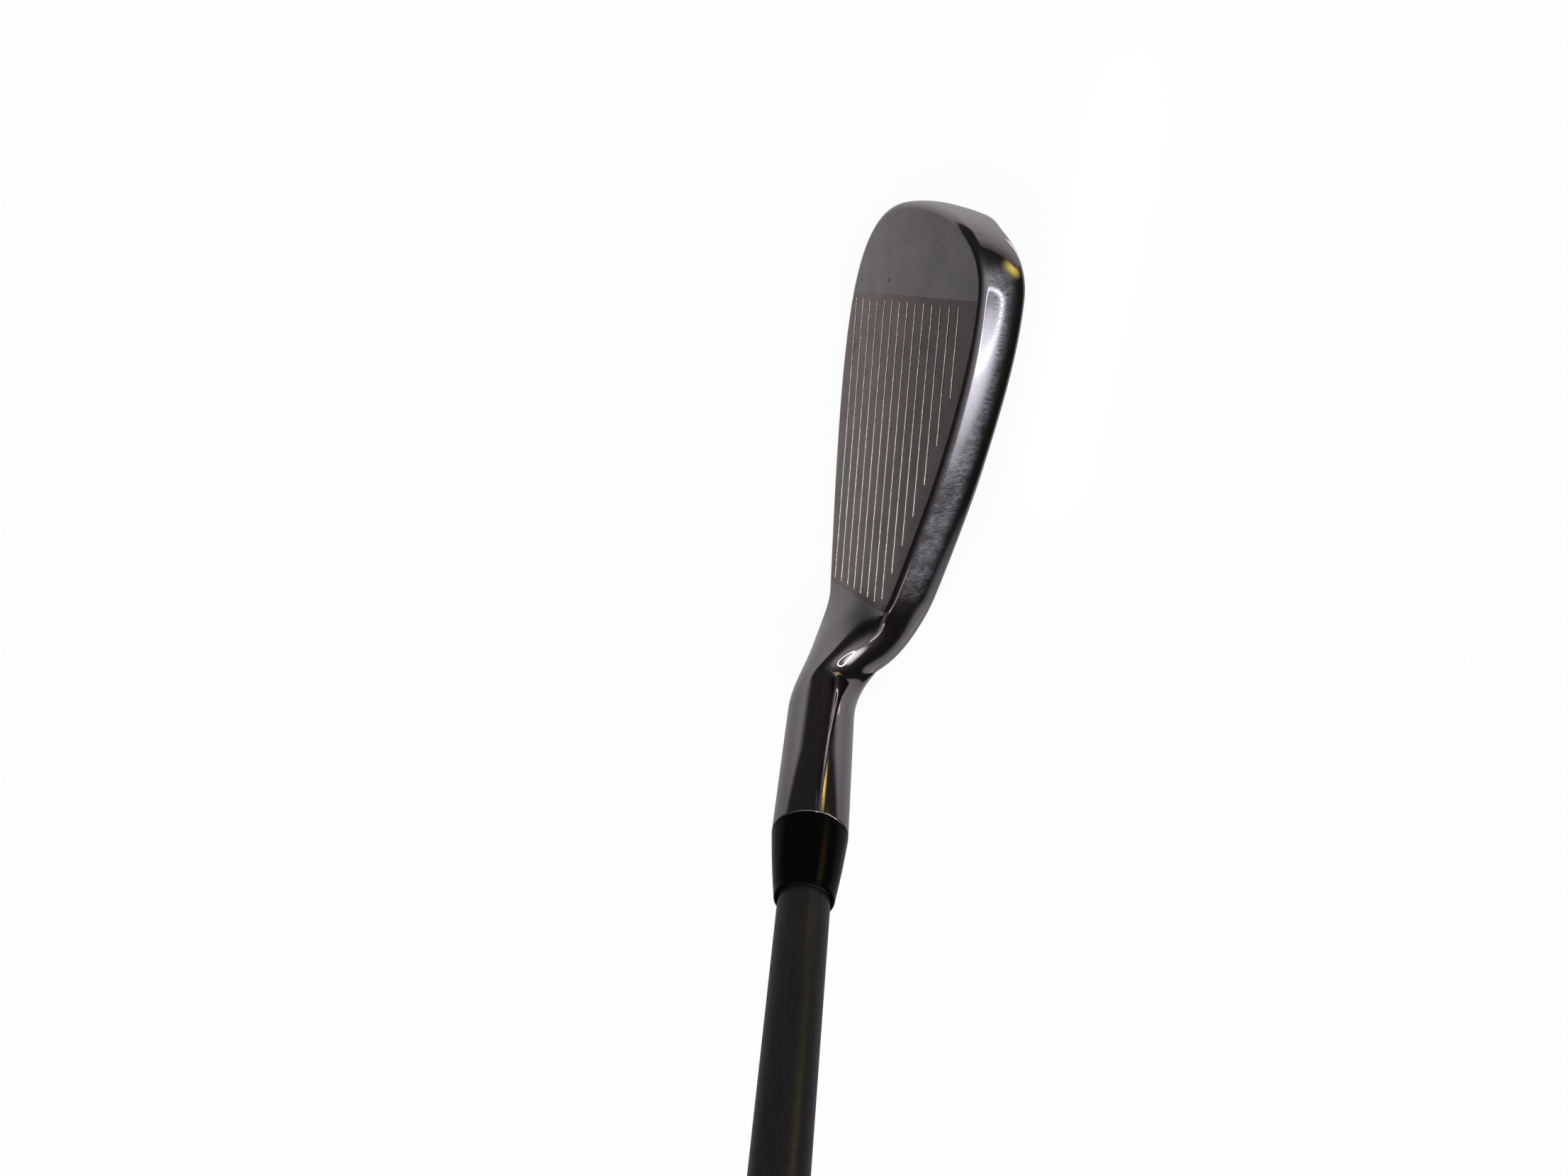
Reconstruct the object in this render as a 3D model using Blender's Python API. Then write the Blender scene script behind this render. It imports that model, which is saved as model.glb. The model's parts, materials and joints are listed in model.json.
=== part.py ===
"""Right-handed iron golf club at address, sole on the ground.

+X runs from toe to heel, +Y away from the target, +Z up. The origin is the spot of the sole that
rests on the ground. The head is modelled in the frame of its striking face: X along the score
lines, Y up the face, Z out of the face. Everything round is modelled along the shaft axis, from
its foot, the point where that axis crosses the plane of the face.
"""

import math

import bmesh
import bpy
import numpy as np
from mathutils import Matrix, Vector

# How the club sits at address
LOFT = math.radians(24.2)
LIE = math.radians(62.7)
SOLE_FLAT_CUT = 0.00012

# Gaps that bonded pieces keep
CLEARANCE = 0.0003

# Face outline, up the face from the first score line
TOE_TIP_X = -0.0463
TOE_TIP_UP = 0.0187
TOE_UPPER_PULL = 0.0145
TOE_LOWER_PULL = 0.0178
APEX_X = -0.0315
APEX_UP = 0.0503
APEX_TOE_PULL = 0.0100
APEX_TOPLINE_PULL = 0.0106
TOPLINE_MID_X = 0.0
TOPLINE_MID_UP = 0.0414
TOPLINE_MID_FALL = math.radians(24.0)
TOPLINE_MID_PULL = 0.0088
TOPLINE_HEEL_X = 0.0312
TOPLINE_HEEL_UP = 0.0248
TOPLINE_HEEL_FALL = math.radians(29.0)
TOPLINE_HEEL_PULL = 0.0098
LEADING_LOW_X = -0.0066
LEADING_LOW_UP = -0.0037
LEADING_TOE_PULL = 0.0250
LEADING_HEEL_PULL = 0.0142
BLADE_HEEL_X = 0.0330
BLADE_HEEL_UP = -0.0016
BLADE_HEEL_RISE = math.radians(4.0)
BLADE_HEEL_PULL = 0.0096

# Band round the face: front edge radius, crown length and turn, back edge radius
TOE_EDGE_RADIUS = 0.0018
TOE_CROWN = 0.0053
TOE_BACK_RADIUS = 0.0018
TOPLINE_EDGE_RADIUS = 0.0016
TOPLINE_CROWN = 0.0062
TOPLINE_BACK_RADIUS = 0.0026
HEEL_CROWN = 0.0069
TOE_SHARE = 0.32
BAND_EDGE_TURN = math.radians(78.0)
BAND_CROWN_TURN = math.radians(26.0)
BAND_BACK_TURN = math.radians(80.0)
LEADING_RADIUS = 0.0030
SOLE_LENGTH = 0.0122
SOLE_BOUNCE = math.radians(4.0)
SOLE_CAMBER = math.radians(11.0)
TRAILING_RADIUS = 0.0028
FLANGE_LEAN = math.radians(30.0)

# Cavity in the back
FACE_THICKNESS = 0.0026
LIP_HEIGHT = 0.0052
FLANGE_HEIGHT = 0.0105
WALL_DRAFT = 0.0012
RIM_ROUND = 0.0006
CAVITY_TOE_X = -0.0405
CAVITY_HEEL_X = 0.0260
CAVITY_END_SLOPE = 0.0045

# Badge in the cavity
BADGE_MARGIN = 0.0012
BADGE_THICKNESS = 0.0012
BADGE_CORNER = 0.0020
PAD_THICKNESS = 0.0008
PAD_INSET = 0.0010

# Score lines
LINE_COUNT = 14
LINE_PITCH = 0.0034
LINE_WIDTH = 0.0007
LINE_DEPTH = 0.0004
LINE_ZONE = 0.0615
LINE_END_GAP = 0.0012
LINE_TOP_GAP = 0.0027

# Hosel, measured along the shaft axis from its foot
AXIS_FOOT_X = 0.0404
AXIS_FOOT_UP = -0.0014
NECK_TOP = 0.0276
HOSEL_TOP = 0.0579
HOSEL_NECK_WALL = 0.00175
HOSEL_TOP_WALL = 0.00210
HOSEL_RIM = 0.0003
BORE_DEPTH = 0.0320
NECK_START_PULL = 0.48
NECK_FRONT_START_PULL = 0.04
NECK_END_PULL = 0.50
NECK_FRONT_END_PULL = 0.64
NECK_POLISH_PASSES = 8
NECK_FACE_TOP_TURN = math.radians(50.0)
NECK_FACE_LOW_TURN = math.radians(125.0)
NECK_SOLE_BACK_TURN = math.radians(220.0)
NECK_TOPLINE_BACK_TURN = math.radians(318.0)

# Shaft, ferrule and tip weight
SHAFT_TIP_RADIUS = 0.0047
SHAFT_TIP_PARALLEL = 0.2250
SHAFT_BUTT_RADIUS = 0.0076
SHAFT_WALL = 0.0014
BARE_SHAFT_LENGTH = 0.6156
FERRULE_LENGTH = 0.0144
FERRULE_TOP_WALL = 0.0005
FERRULE_BULGE = 0.0001
FERRULE_LIP = 0.0004
WEIGHT_HEAD = 0.0015
WEIGHT_LENGTH = 0.0240

# Grip, tape and cap
GRIP_LENGTH = 0.2650
GRIP_MOUTH_WALL = 0.0011
GRIP_BUTT_RADIUS = 0.0134
GRIP_BEAD = 0.0060
GRIP_LIP = 0.0050
GRIP_SWELL = 1.15
TAPE_THICKNESS = 0.0004
CAP_THICKNESS = 0.0035
CAP_EDGE = 0.0012
CAP_SPIGOT = 0.0050
VENT_RADIUS = 0.0012

# Fineness of the solids
BLADE_STEPS = 36
NECK_STEPS = 13
ARC_STEPS = 5
FACE_STEPS = 5
FLOOR_STEPS = 3
TURNED_SIDES = 36
FERRULE_STEPS = 6
GRIP_STEPS = 4
CORNER_STEPS = 4
CURVE_SAMPLES = 400
MERGE_DISTANCE = 1e-6
SHARP_ANGLE = math.radians(35.0)

BORE_RADIUS = SHAFT_TIP_RADIUS + CLEARANCE
HOSEL_NECK_RADIUS = BORE_RADIUS + HOSEL_NECK_WALL
HOSEL_TOP_RADIUS = BORE_RADIUS + HOSEL_TOP_WALL
FERRULE_TOP_RADIUS = BORE_RADIUS + FERRULE_TOP_WALL
UP_IN_FACE = np.array((0.0, math.cos(LOFT), math.sin(LOFT)))
AXIS_IN_FACE = np.array((math.cos(LIE), math.sin(LIE) * math.cos(LOFT), math.sin(LIE) * math.sin(LOFT)))
INSIDE_IN_FACE = np.array((-math.sin(LIE), math.cos(LIE) * math.cos(LOFT), math.cos(LIE) * math.sin(LOFT)))
FRONT_IN_FACE = np.array((0.0, -math.sin(LOFT), math.cos(LOFT)))
FOOT_IN_FACE = np.array((AXIS_FOOT_X, AXIS_FOOT_UP, 0.0))


def heading(angle):
    return np.array((math.cos(angle), math.sin(angle)))


def bezier(start, start_pull, end_pull, end, t):
    t = np.asarray(t, dtype=float)[..., None]
    first = (1 - t) ** 3 * start + 3 * (1 - t) ** 2 * t * start_pull
    return first + 3 * (1 - t) * t ** 2 * end_pull + t ** 3 * end


def bezier_slope(start, start_pull, end_pull, end, t):
    t = np.asarray(t, dtype=float)[..., None]
    first = (1 - t) ** 2 * (start_pull - start) + 2 * (1 - t) * t * (end_pull - start_pull)
    return first + t ** 2 * (end - end_pull)


def smooth(value):
    value = min(max(value, 0.0), 1.0)
    return value * value * (3.0 - 2.0 * value)


def mix(first, second, share):
    return first + (second - first) * share


# Outline of the face

def even_points(curves, count):
    """Points and unit tangents at equal distances along joined curves."""
    fine = np.linspace(0.0, 1.0, CURVE_SAMPLES)
    points = np.vstack([bezier(*curve, fine) for curve in curves])
    slopes = np.vstack([bezier_slope(*curve, fine) for curve in curves])
    slopes /= np.linalg.norm(slopes, axis=1)[:, None]
    steps = np.linalg.norm(np.diff(points, axis=0), axis=1)
    run = np.concatenate(([0.0], np.cumsum(steps)))
    wanted = np.linspace(0.0, run[-1], count)
    even = np.column_stack([np.interp(wanted, run, points[:, axis]) for axis in (0, 1)])
    tangents = np.column_stack([np.interp(wanted, run, slopes[:, axis]) for axis in (0, 1)])
    return even, tangents / np.linalg.norm(tangents, axis=1)[:, None]


def upper_outline(count):
    """From the toe tip over the apex and along the topline to the heel."""
    tip = np.array((TOE_TIP_X, TOE_TIP_UP))
    apex = np.array((APEX_X, APEX_UP))
    mid = np.array((TOPLINE_MID_X, TOPLINE_MID_UP))
    heel = np.array((TOPLINE_HEEL_X, TOPLINE_HEEL_UP))
    along_mid = heading(-TOPLINE_MID_FALL) * TOPLINE_MID_PULL
    along_heel = heading(-TOPLINE_HEEL_FALL) * TOPLINE_HEEL_PULL
    curves = (
        (tip, tip + (0.0, TOE_UPPER_PULL), apex - (APEX_TOE_PULL, 0.0), apex),
        (apex, apex + (APEX_TOPLINE_PULL, 0.0), mid - along_mid, mid),
        (mid, mid + along_mid, heel - along_heel, heel),
    )
    return even_points(curves, count)


def lower_outline(count):
    """From the toe tip under the toe and along the leading edge to the heel."""
    tip = np.array((TOE_TIP_X, TOE_TIP_UP))
    low = np.array((LEADING_LOW_X, LEADING_LOW_UP))
    heel = np.array((BLADE_HEEL_X, BLADE_HEEL_UP))
    along_heel = heading(BLADE_HEEL_RISE) * BLADE_HEEL_PULL
    curves = (
        (tip, tip - (0.0, TOE_LOWER_PULL), low - (LEADING_TOE_PULL, 0.0), low),
        (low, low + (LEADING_HEEL_PULL, 0.0), heel - along_heel, heel),
    )
    return even_points(curves, count)


# Band that runs round the face

def arc(start, angle, radius, turn):
    """Points after the start of an arc of steady turn, and the heading at its end."""
    turns = angle + turn * np.arange(1, ARC_STEPS + 1) / ARC_STEPS
    outward = start[0] + radius * (np.sin(turns) - math.sin(angle))
    back = start[1] + radius * (math.cos(angle) - np.cos(turns))
    return np.column_stack((outward, back)), angle + turn


def band_profile(edge_radius, edge_turn, crown, crown_turn, back_radius, back_turn):
    """(outward, back) points from the face edge over the band to its back edge."""
    points = np.zeros((1, 2))
    angle = 0.0
    arcs = ((edge_radius, edge_turn), (crown / crown_turn, crown_turn), (back_radius, back_turn))
    for radius, turn in arcs:
        stretch, angle = arc(points[-1], angle, radius, turn)
        points = np.vstack((points, stretch))
    return points


def rounded_band(edge_radius, crown, back_radius):
    return np.array((edge_radius, BAND_EDGE_TURN, crown, BAND_CROWN_TURN, back_radius, BAND_BACK_TURN))


TOE_BAND = rounded_band(TOE_EDGE_RADIUS, TOE_CROWN, TOE_BACK_RADIUS)
TOPLINE_BAND = rounded_band(TOPLINE_EDGE_RADIUS, TOPLINE_CROWN, TOPLINE_BACK_RADIUS)
HEEL_BAND = rounded_band(TOPLINE_EDGE_RADIUS, HEEL_CROWN, TOPLINE_BACK_RADIUS)
SOLE_EDGE_TURN = math.pi / 2 + LOFT - SOLE_BOUNCE
SOLE_BAND = np.array((
    LEADING_RADIUS, SOLE_EDGE_TURN, SOLE_LENGTH, SOLE_CAMBER, TRAILING_RADIUS,
    math.pi + FLANGE_LEAN - SOLE_EDGE_TURN - SOLE_CAMBER))


def band_points(point, tangent, outward_turn, band):
    """The band's points in the face frame, at one point of the outline."""
    outward = np.array((-tangent[1], tangent[0])) * outward_turn
    profile = band_profile(*band)
    flat = point + profile[:, :1] * outward
    return np.column_stack((flat, -profile[:, 1]))


# Rings of the head

def cavity_share(x):
    toe_side = smooth((x - CAVITY_TOE_X) / CAVITY_END_SLOPE + 0.5)
    heel_side = smooth((CAVITY_HEEL_X - x) / CAVITY_END_SLOPE + 0.5)
    return toe_side * heel_side


def back_points(top, low, band_top, band_low):
    """Points of the back from the sole's back edge up to the topline's back edge."""
    length = np.linalg.norm(low - top)
    down = (low - top) / max(length, MERGE_DISTANCE)
    share = cavity_share((top[0] + low[0]) / 2)
    flange_low = (band_low[:2] - top) @ down
    lip_low = (band_top[:2] - top) @ down
    lip = max(LIP_HEIGHT, lip_low + 2 * RIM_ROUND)
    flange = length - FLANGE_HEIGHT
    flange_depth = -band_low[2] - (flange_low - flange) * math.tan(FLANGE_LEAN)
    lip_depth = -band_top[2]
    floor_low = flange - 2 * WALL_DRAFT
    floor_top = lip + WALL_DRAFT
    keys = [
        (mix(flange_low, flange, 0.5), mix(-band_low[2], flange_depth, 0.5)),
        (flange + RIM_ROUND, flange_depth + RIM_ROUND * math.tan(FLANGE_LEAN)),
        (flange - RIM_ROUND / 2, flange_depth - RIM_ROUND),
    ]
    for step in range(FLOOR_STEPS + 1):
        keys.append((mix(floor_low, floor_top, step / FLOOR_STEPS), FACE_THICKNESS))
    keys.append((lip + RIM_ROUND / 2, lip_depth - RIM_ROUND))
    keys.append((lip - RIM_ROUND, lip_depth))
    points = []
    for number, (run, depth) in enumerate(keys):
        along = (number + 1) / (len(keys) + 1)
        plain = mix(band_low, band_top, along)
        cut = np.append(top + down * run, -depth)
        points.append(mix(plain, cut, share))
    return points


def blade_rings():
    """Closed rings of points from the toe tip to the heel, the first one folded on itself."""
    tops, top_tangents = upper_outline(BLADE_STEPS + 1)
    lows, low_tangents = lower_outline(BLADE_STEPS + 1)
    rings = []
    for step in range(BLADE_STEPS + 1):
        share = step / BLADE_STEPS
        past_toe = smooth(share / TOE_SHARE)
        top_band = mix(TOE_BAND, mix(TOPLINE_BAND, HEEL_BAND, smooth(share * 2 - 1)), past_toe)
        low_band = mix(TOE_BAND, SOLE_BAND, past_toe)
        over = band_points(tops[step], top_tangents[step], 1.0, top_band)
        under = band_points(lows[step], low_tangents[step], -1.0, low_band)
        face = [mix(over[0], under[0], i / FACE_STEPS) for i in range(FACE_STEPS)]
        back = back_points(tops[step], lows[step], over[-1], under[-1])
        rings.append(np.vstack((face, under, back, over[:0:-1])))
    return rings


def hosel_turns():
    """Angle round the shaft axis, from the inside over the front, of each point of a ring."""
    back_count = FLOOR_STEPS + 6
    spans = (
        (NECK_FACE_TOP_TURN, NECK_FACE_LOW_TURN, FACE_STEPS),
        (NECK_FACE_LOW_TURN, NECK_SOLE_BACK_TURN, 3 * ARC_STEPS),
        (NECK_SOLE_BACK_TURN, NECK_TOPLINE_BACK_TURN, back_count + 1),
        (NECK_TOPLINE_BACK_TURN, NECK_FACE_TOP_TURN + 2 * math.pi, 3 * ARC_STEPS),
    )
    return np.concatenate([np.linspace(start, end, count, endpoint=False) for start, end, count in spans])


def hosel_ring(turns, along, radius):
    round_axis = np.outer(np.cos(turns), INSIDE_IN_FACE) + np.outer(np.sin(turns), FRONT_IN_FACE)
    return FOOT_IN_FACE + AXIS_IN_FACE * along + radius * round_axis


def neck_rings(before, start, end, turns):
    """Rings that carry the blade's last ring round into the hosel's first one."""
    leave = start - before
    leave /= np.linalg.norm(leave, axis=1)[:, None]
    reach = np.linalg.norm(end - start, axis=1)[:, None]
    front = np.maximum(np.sin(turns), 0.0)[:, None]
    start_pull = start + leave * reach * mix(NECK_START_PULL, NECK_FRONT_START_PULL, front)
    end_pull = end - AXIS_IN_FACE * reach * mix(NECK_END_PULL, NECK_FRONT_END_PULL, front)
    shares = np.arange(1, NECK_STEPS) / NECK_STEPS
    crook = (1.0 + np.cos(turns - NECK_TOPLINE_BACK_TURN))[:, None] / 2
    rings = []
    for share in shares:
        ring = bezier(start, start_pull, end_pull, end, share)
        rings.append(polished(ring, crook * math.sin(math.pi * share)))
    return rings


def polished(ring, amount):
    """A ring with its edges eased, as the polishing belt leaves the crook of the neck."""
    for _ in range(NECK_POLISH_PASSES):
        neighbours = (np.roll(ring, 1, axis=0) + np.roll(ring, -1, axis=0)) / 2
        ring = mix(ring, neighbours, amount / 2)
    return ring


def head_rings():
    rings = blade_rings()
    turns = hosel_turns()
    first = hosel_ring(turns, NECK_TOP, HOSEL_NECK_RADIUS)
    rings += neck_rings(rings[-2], rings[-1], first, turns)
    for along, radius in (
        (NECK_TOP, HOSEL_NECK_RADIUS),
        ((NECK_TOP + HOSEL_TOP) / 2, (HOSEL_NECK_RADIUS + HOSEL_TOP_RADIUS) / 2),
        (HOSEL_TOP - HOSEL_RIM, HOSEL_TOP_RADIUS),
        (HOSEL_TOP, HOSEL_TOP_RADIUS - HOSEL_RIM),
        (HOSEL_TOP, BORE_RADIUS + HOSEL_RIM),
        (HOSEL_TOP - HOSEL_RIM, BORE_RADIUS),
        (HOSEL_TOP - BORE_DEPTH, BORE_RADIUS),
    ):
        rings.append(hosel_ring(turns, along, radius))
    return rings


# Meshes

def make_material(name, colour, roughness, metallic):
    material = bpy.data.materials.new(name)
    material.use_nodes = True
    shader = material.node_tree.nodes["Principled BSDF"]
    shader.inputs["Base Color"].default_value = (*colour, 1.0)
    shader.inputs["Roughness"].default_value = roughness
    shader.inputs["Metallic"].default_value = metallic
    return material


def make_object(name, mesh_build, parent, material):
    bmesh.ops.recalc_face_normals(mesh_build, faces=mesh_build.faces)
    mesh = bpy.data.meshes.new(name)
    mesh_build.to_mesh(mesh)
    mesh_build.free()
    mesh.shade_smooth()
    mesh.set_sharp_from_angle(angle=SHARP_ANGLE)
    thing = bpy.data.objects.new(name, mesh)
    bpy.context.scene.collection.objects.link(thing)
    thing.parent = parent
    if material:
        mesh.materials.append(material)
    return thing


def make_empty(name, matrix):
    empty = bpy.data.objects.new(name, None)
    bpy.context.scene.collection.objects.link(empty)
    empty.matrix_world = matrix
    return empty


def turned(name, profile, parent, material):
    """A closed profile of (radius, along) points, spun round the parent's Z axis."""
    build = bmesh.new()
    corners = [build.verts.new((radius, 0.0, along)) for radius, along in profile]
    edges = [build.edges.new((corners[i - 1], corners[i])) for i in range(len(corners))]
    bmesh.ops.spin(
        build, geom=corners + edges, cent=(0, 0, 0), axis=(0, 0, 1),
        angle=2 * math.pi, steps=TURNED_SIDES, use_merge=True)
    bmesh.ops.remove_doubles(build, verts=build.verts, dist=MERGE_DISTANCE)
    return make_object(name, build, parent, material)


def head_solid(rings, parent, material):
    build = bmesh.new()
    rows = [[build.verts.new(point) for point in ring] for ring in rings]
    for first, second in zip(rows, rows[1:]):
        for i in range(len(first)):
            build.faces.new((first[i - 1], first[i], second[i], second[i - 1]))
    build.faces.new(rows[-1])
    bmesh.ops.remove_doubles(build, verts=build.verts, dist=MERGE_DISTANCE)
    return make_object("iron_head", build, parent, material)


def line_heel_end(height, tops):
    """How far towards the heel a score line runs, held back from the zone's end and the topline."""
    topline = tops[np.argmax(tops[:, 1]):]
    below_topline = np.interp(-height - LINE_TOP_GAP, -topline[:, 1], topline[:, 0])
    return min(LINE_ZONE / 2 - LINE_END_GAP, below_topline)


def cut_score_lines(head, parent):
    tops, _ = upper_outline(CURVE_SAMPLES)
    build = bmesh.new()
    for number in range(LINE_COUNT):
        height = number * LINE_PITCH
        toe_end = -LINE_ZONE / 2 + LINE_END_GAP
        heel_end = line_heel_end(height, tops)
        if heel_end - toe_end < LINE_PITCH:
            continue
        outline = []
        for end, half in ((toe_end, -LINE_WIDTH / 2), (heel_end, LINE_WIDTH / 2)):
            outline += [(end - half, height - half), (end, height), (end - half, height + half)]
        floor = [build.verts.new((*point, -LINE_DEPTH)) for point in outline]
        face = build.faces.new(floor)
        raised = bmesh.ops.extrude_face_region(build, geom=[face])["geom"]
        lid = [item for item in raised if isinstance(item, bmesh.types.BMVert)]
        bmesh.ops.translate(build, verts=lid, vec=(0, 0, 2 * LINE_DEPTH))
    cutter = make_object("score_line_cutter", build, parent, None)
    cutter.data.shade_flat()
    cutter.hide_render = True
    cutter.display_type = "WIRE"
    cut = head.modifiers.new("score_lines", "BOOLEAN")
    cut.operation = "DIFFERENCE"
    cut.solver = "EXACT"
    cut.object = cutter


def cavity_outline(margin):
    """Outline of the cavity floor, drawn in by a margin on every side."""
    tops, _ = upper_outline(BLADE_STEPS + 1)
    lows, _ = lower_outline(BLADE_STEPS + 1)
    above = []
    below = []
    end_room = CAVITY_END_SLOPE / 2 + margin
    columns = np.linspace(CAVITY_TOE_X + end_room, CAVITY_HEEL_X - end_room, BLADE_STEPS)
    middles = (tops[:, 0] + lows[:, 0]) / 2
    for column in columns:
        top = np.array([np.interp(column, middles, tops[:, axis]) for axis in (0, 1)])
        low = np.array([np.interp(column, middles, lows[:, axis]) for axis in (0, 1)])
        length = np.linalg.norm(low - top)
        down = (low - top) / length
        above.append(top + down * (LIP_HEIGHT + WALL_DRAFT + margin))
        below.append(top + down * (length - FLANGE_HEIGHT - 2 * WALL_DRAFT - margin))
    return above + below[::-1]


def plate(name, outline, front, thickness, parent, material):
    """A flat plate behind the face, with its corners rounded."""
    build = bmesh.new()
    face = build.faces.new([build.verts.new((*point, -front)) for point in outline])
    raised = bmesh.ops.extrude_face_region(build, geom=[face])["geom"]
    moved = [item for item in raised if isinstance(item, bmesh.types.BMVert)]
    bmesh.ops.translate(build, verts=moved, vec=(0, 0, -thickness))
    count = len(outline)
    corners = [outline[i] for i in (0, count // 2 - 1, count // 2, count - 1)]
    sides = [edge for edge in build.edges if is_corner(edge, corners)]
    bmesh.ops.bevel(build, geom=sides, offset=BADGE_CORNER, segments=CORNER_STEPS, profile=0.5, affect="EDGES")
    return make_object(name, build, parent, material)


def is_corner(edge, corners):
    first, second = (vert.co for vert in edge.verts)
    if abs(first.z - second.z) < MERGE_DISTANCE:
        return False
    return any((first.xy - Vector(corner)).length < MERGE_DISTANCE for corner in corners)


# Pieces along the shaft

def shaft_radius(along):
    start = HOSEL_TOP - BORE_DEPTH + SHAFT_TIP_PARALLEL
    share = min(max((along - start) / (SHAFT_END - start), 0.0), 1.0)
    return mix(SHAFT_TIP_RADIUS, SHAFT_BUTT_RADIUS, share)


WEIGHT_START = HOSEL_TOP - BORE_DEPTH + CLEARANCE
SHAFT_START = WEIGHT_START + WEIGHT_HEAD + CLEARANCE
FERRULE_START = HOSEL_TOP + CLEARANCE
FERRULE_END = FERRULE_START + FERRULE_LENGTH
GRIP_MOUTH = FERRULE_END + BARE_SHAFT_LENGTH
TAPE_START = GRIP_MOUTH + GRIP_LIP + CLEARANCE
SLEEVE_END = GRIP_MOUTH + GRIP_LENGTH
SHAFT_END = SLEEVE_END - CAP_SPIGOT - CLEARANCE
BUTT_END = SLEEVE_END + CLEARANCE + CAP_THICKNESS


def tip_weight(parent, material):
    pin = SHAFT_TIP_RADIUS - SHAFT_WALL - CLEARANCE
    head = SHAFT_TIP_RADIUS - CLEARANCE
    step = WEIGHT_START + WEIGHT_HEAD
    end = WEIGHT_START + WEIGHT_LENGTH
    profile = (
        (0.0, WEIGHT_START), (head, WEIGHT_START), (head, step),
        (pin, step), (pin, end - pin / 2), (pin / 2, end), (0.0, end))
    turned("tip_weight", profile, parent, material)


def shaft(parent, material):
    taper_start = HOSEL_TOP - BORE_DEPTH + SHAFT_TIP_PARALLEL
    stations = (SHAFT_START, taper_start, SHAFT_END)
    outside = [(shaft_radius(along), along) for along in stations]
    inside = [(shaft_radius(along) - SHAFT_WALL, along) for along in stations]
    turned("shaft", outside + inside[::-1], parent, material)


def ferrule(parent, material):
    profile = [(BORE_RADIUS, FERRULE_START)]
    for share in np.linspace(0.0, 1.0, FERRULE_STEPS + 1):
        taper = mix(HOSEL_TOP_RADIUS, FERRULE_TOP_RADIUS, share)
        radius = taper + FERRULE_BULGE * math.sin(math.pi * share)
        profile.append((radius, FERRULE_START + share * (FERRULE_LENGTH - FERRULE_LIP)))
    profile.append((FERRULE_TOP_RADIUS - FERRULE_LIP / 2, FERRULE_END))
    profile.append((BORE_RADIUS, FERRULE_END))
    turned("ferrule", profile, parent, material)


def tape_inside(along):
    return shaft_radius(along) + CLEARANCE


def grip_bore(along):
    return tape_inside(along) + TAPE_THICKNESS + CLEARANCE


def grip_tape(parent, material):
    inside = [(tape_inside(along), along) for along in (TAPE_START, SHAFT_END)]
    outside = [(radius + TAPE_THICKNESS, along) for radius, along in inside]
    turned("grip_tape", outside + inside[::-1], parent, material)


def grip_sleeve(parent, material):
    mouth_radius = grip_bore(GRIP_MOUTH) + GRIP_MOUTH_WALL
    bead_start = SLEEVE_END - GRIP_BEAD
    taper_top = GRIP_BUTT_RADIUS - GRIP_MOUTH_WALL / 2
    taper_start = GRIP_MOUTH + GRIP_MOUTH_WALL
    profile = [(mouth_radius - GRIP_MOUTH_WALL / 2, GRIP_MOUTH), (mouth_radius, taper_start)]
    for step in range(1, GRIP_STEPS + 1):
        share = step / GRIP_STEPS
        along = mix(taper_start, bead_start, share)
        profile.append((mix(mouth_radius, taper_top, share ** GRIP_SWELL), along))
    profile.append((GRIP_BUTT_RADIUS, bead_start + GRIP_BEAD / 2))
    profile.append((GRIP_BUTT_RADIUS, SLEEVE_END))
    end_bore = grip_bore(SHAFT_END)
    lip_end = TAPE_START - CLEARANCE
    profile += [(end_bore, SLEEVE_END), (end_bore, SHAFT_END), (grip_bore(lip_end), lip_end)]
    profile += [(tape_inside(lip_end), lip_end), (tape_inside(GRIP_MOUTH), GRIP_MOUTH)]
    turned("grip_sleeve", profile, parent, material)


def grip_cap(parent, material):
    spigot = grip_bore(SHAFT_END) - CLEARANCE
    seat = SLEEVE_END + CLEARANCE
    inner_end = SHAFT_END + CLEARANCE
    profile = [(VENT_RADIUS, inner_end), (spigot, inner_end), (spigot, seat), (GRIP_BUTT_RADIUS, seat)]
    for turn in np.linspace(0.0, math.pi / 2, CORNER_STEPS):
        radius = GRIP_BUTT_RADIUS - CAP_EDGE * (1.0 - math.cos(turn))
        profile.append((radius, BUTT_END - CAP_EDGE * (1.0 - math.sin(turn))))
    profile.append((VENT_RADIUS, BUTT_END))
    turned("grip_cap", profile, parent, material)


def rest_on_ground(rings):
    """Flattens the lowest spot of the sole; gives the ground's height and the spot, in the face frame."""
    heights = [ring @ UP_IN_FACE for ring in rings]
    lowest = min(range(BLADE_STEPS + 1), key=lambda i: heights[i].min())
    ground = heights[lowest].min() + SOLE_FLAT_CUT
    spot = rings[lowest][heights[lowest].argmin()]
    for ring, height in zip(rings, heights):
        ring += np.outer(np.maximum(ground - height, 0.0), UP_IN_FACE)
    return ground, spot


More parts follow.
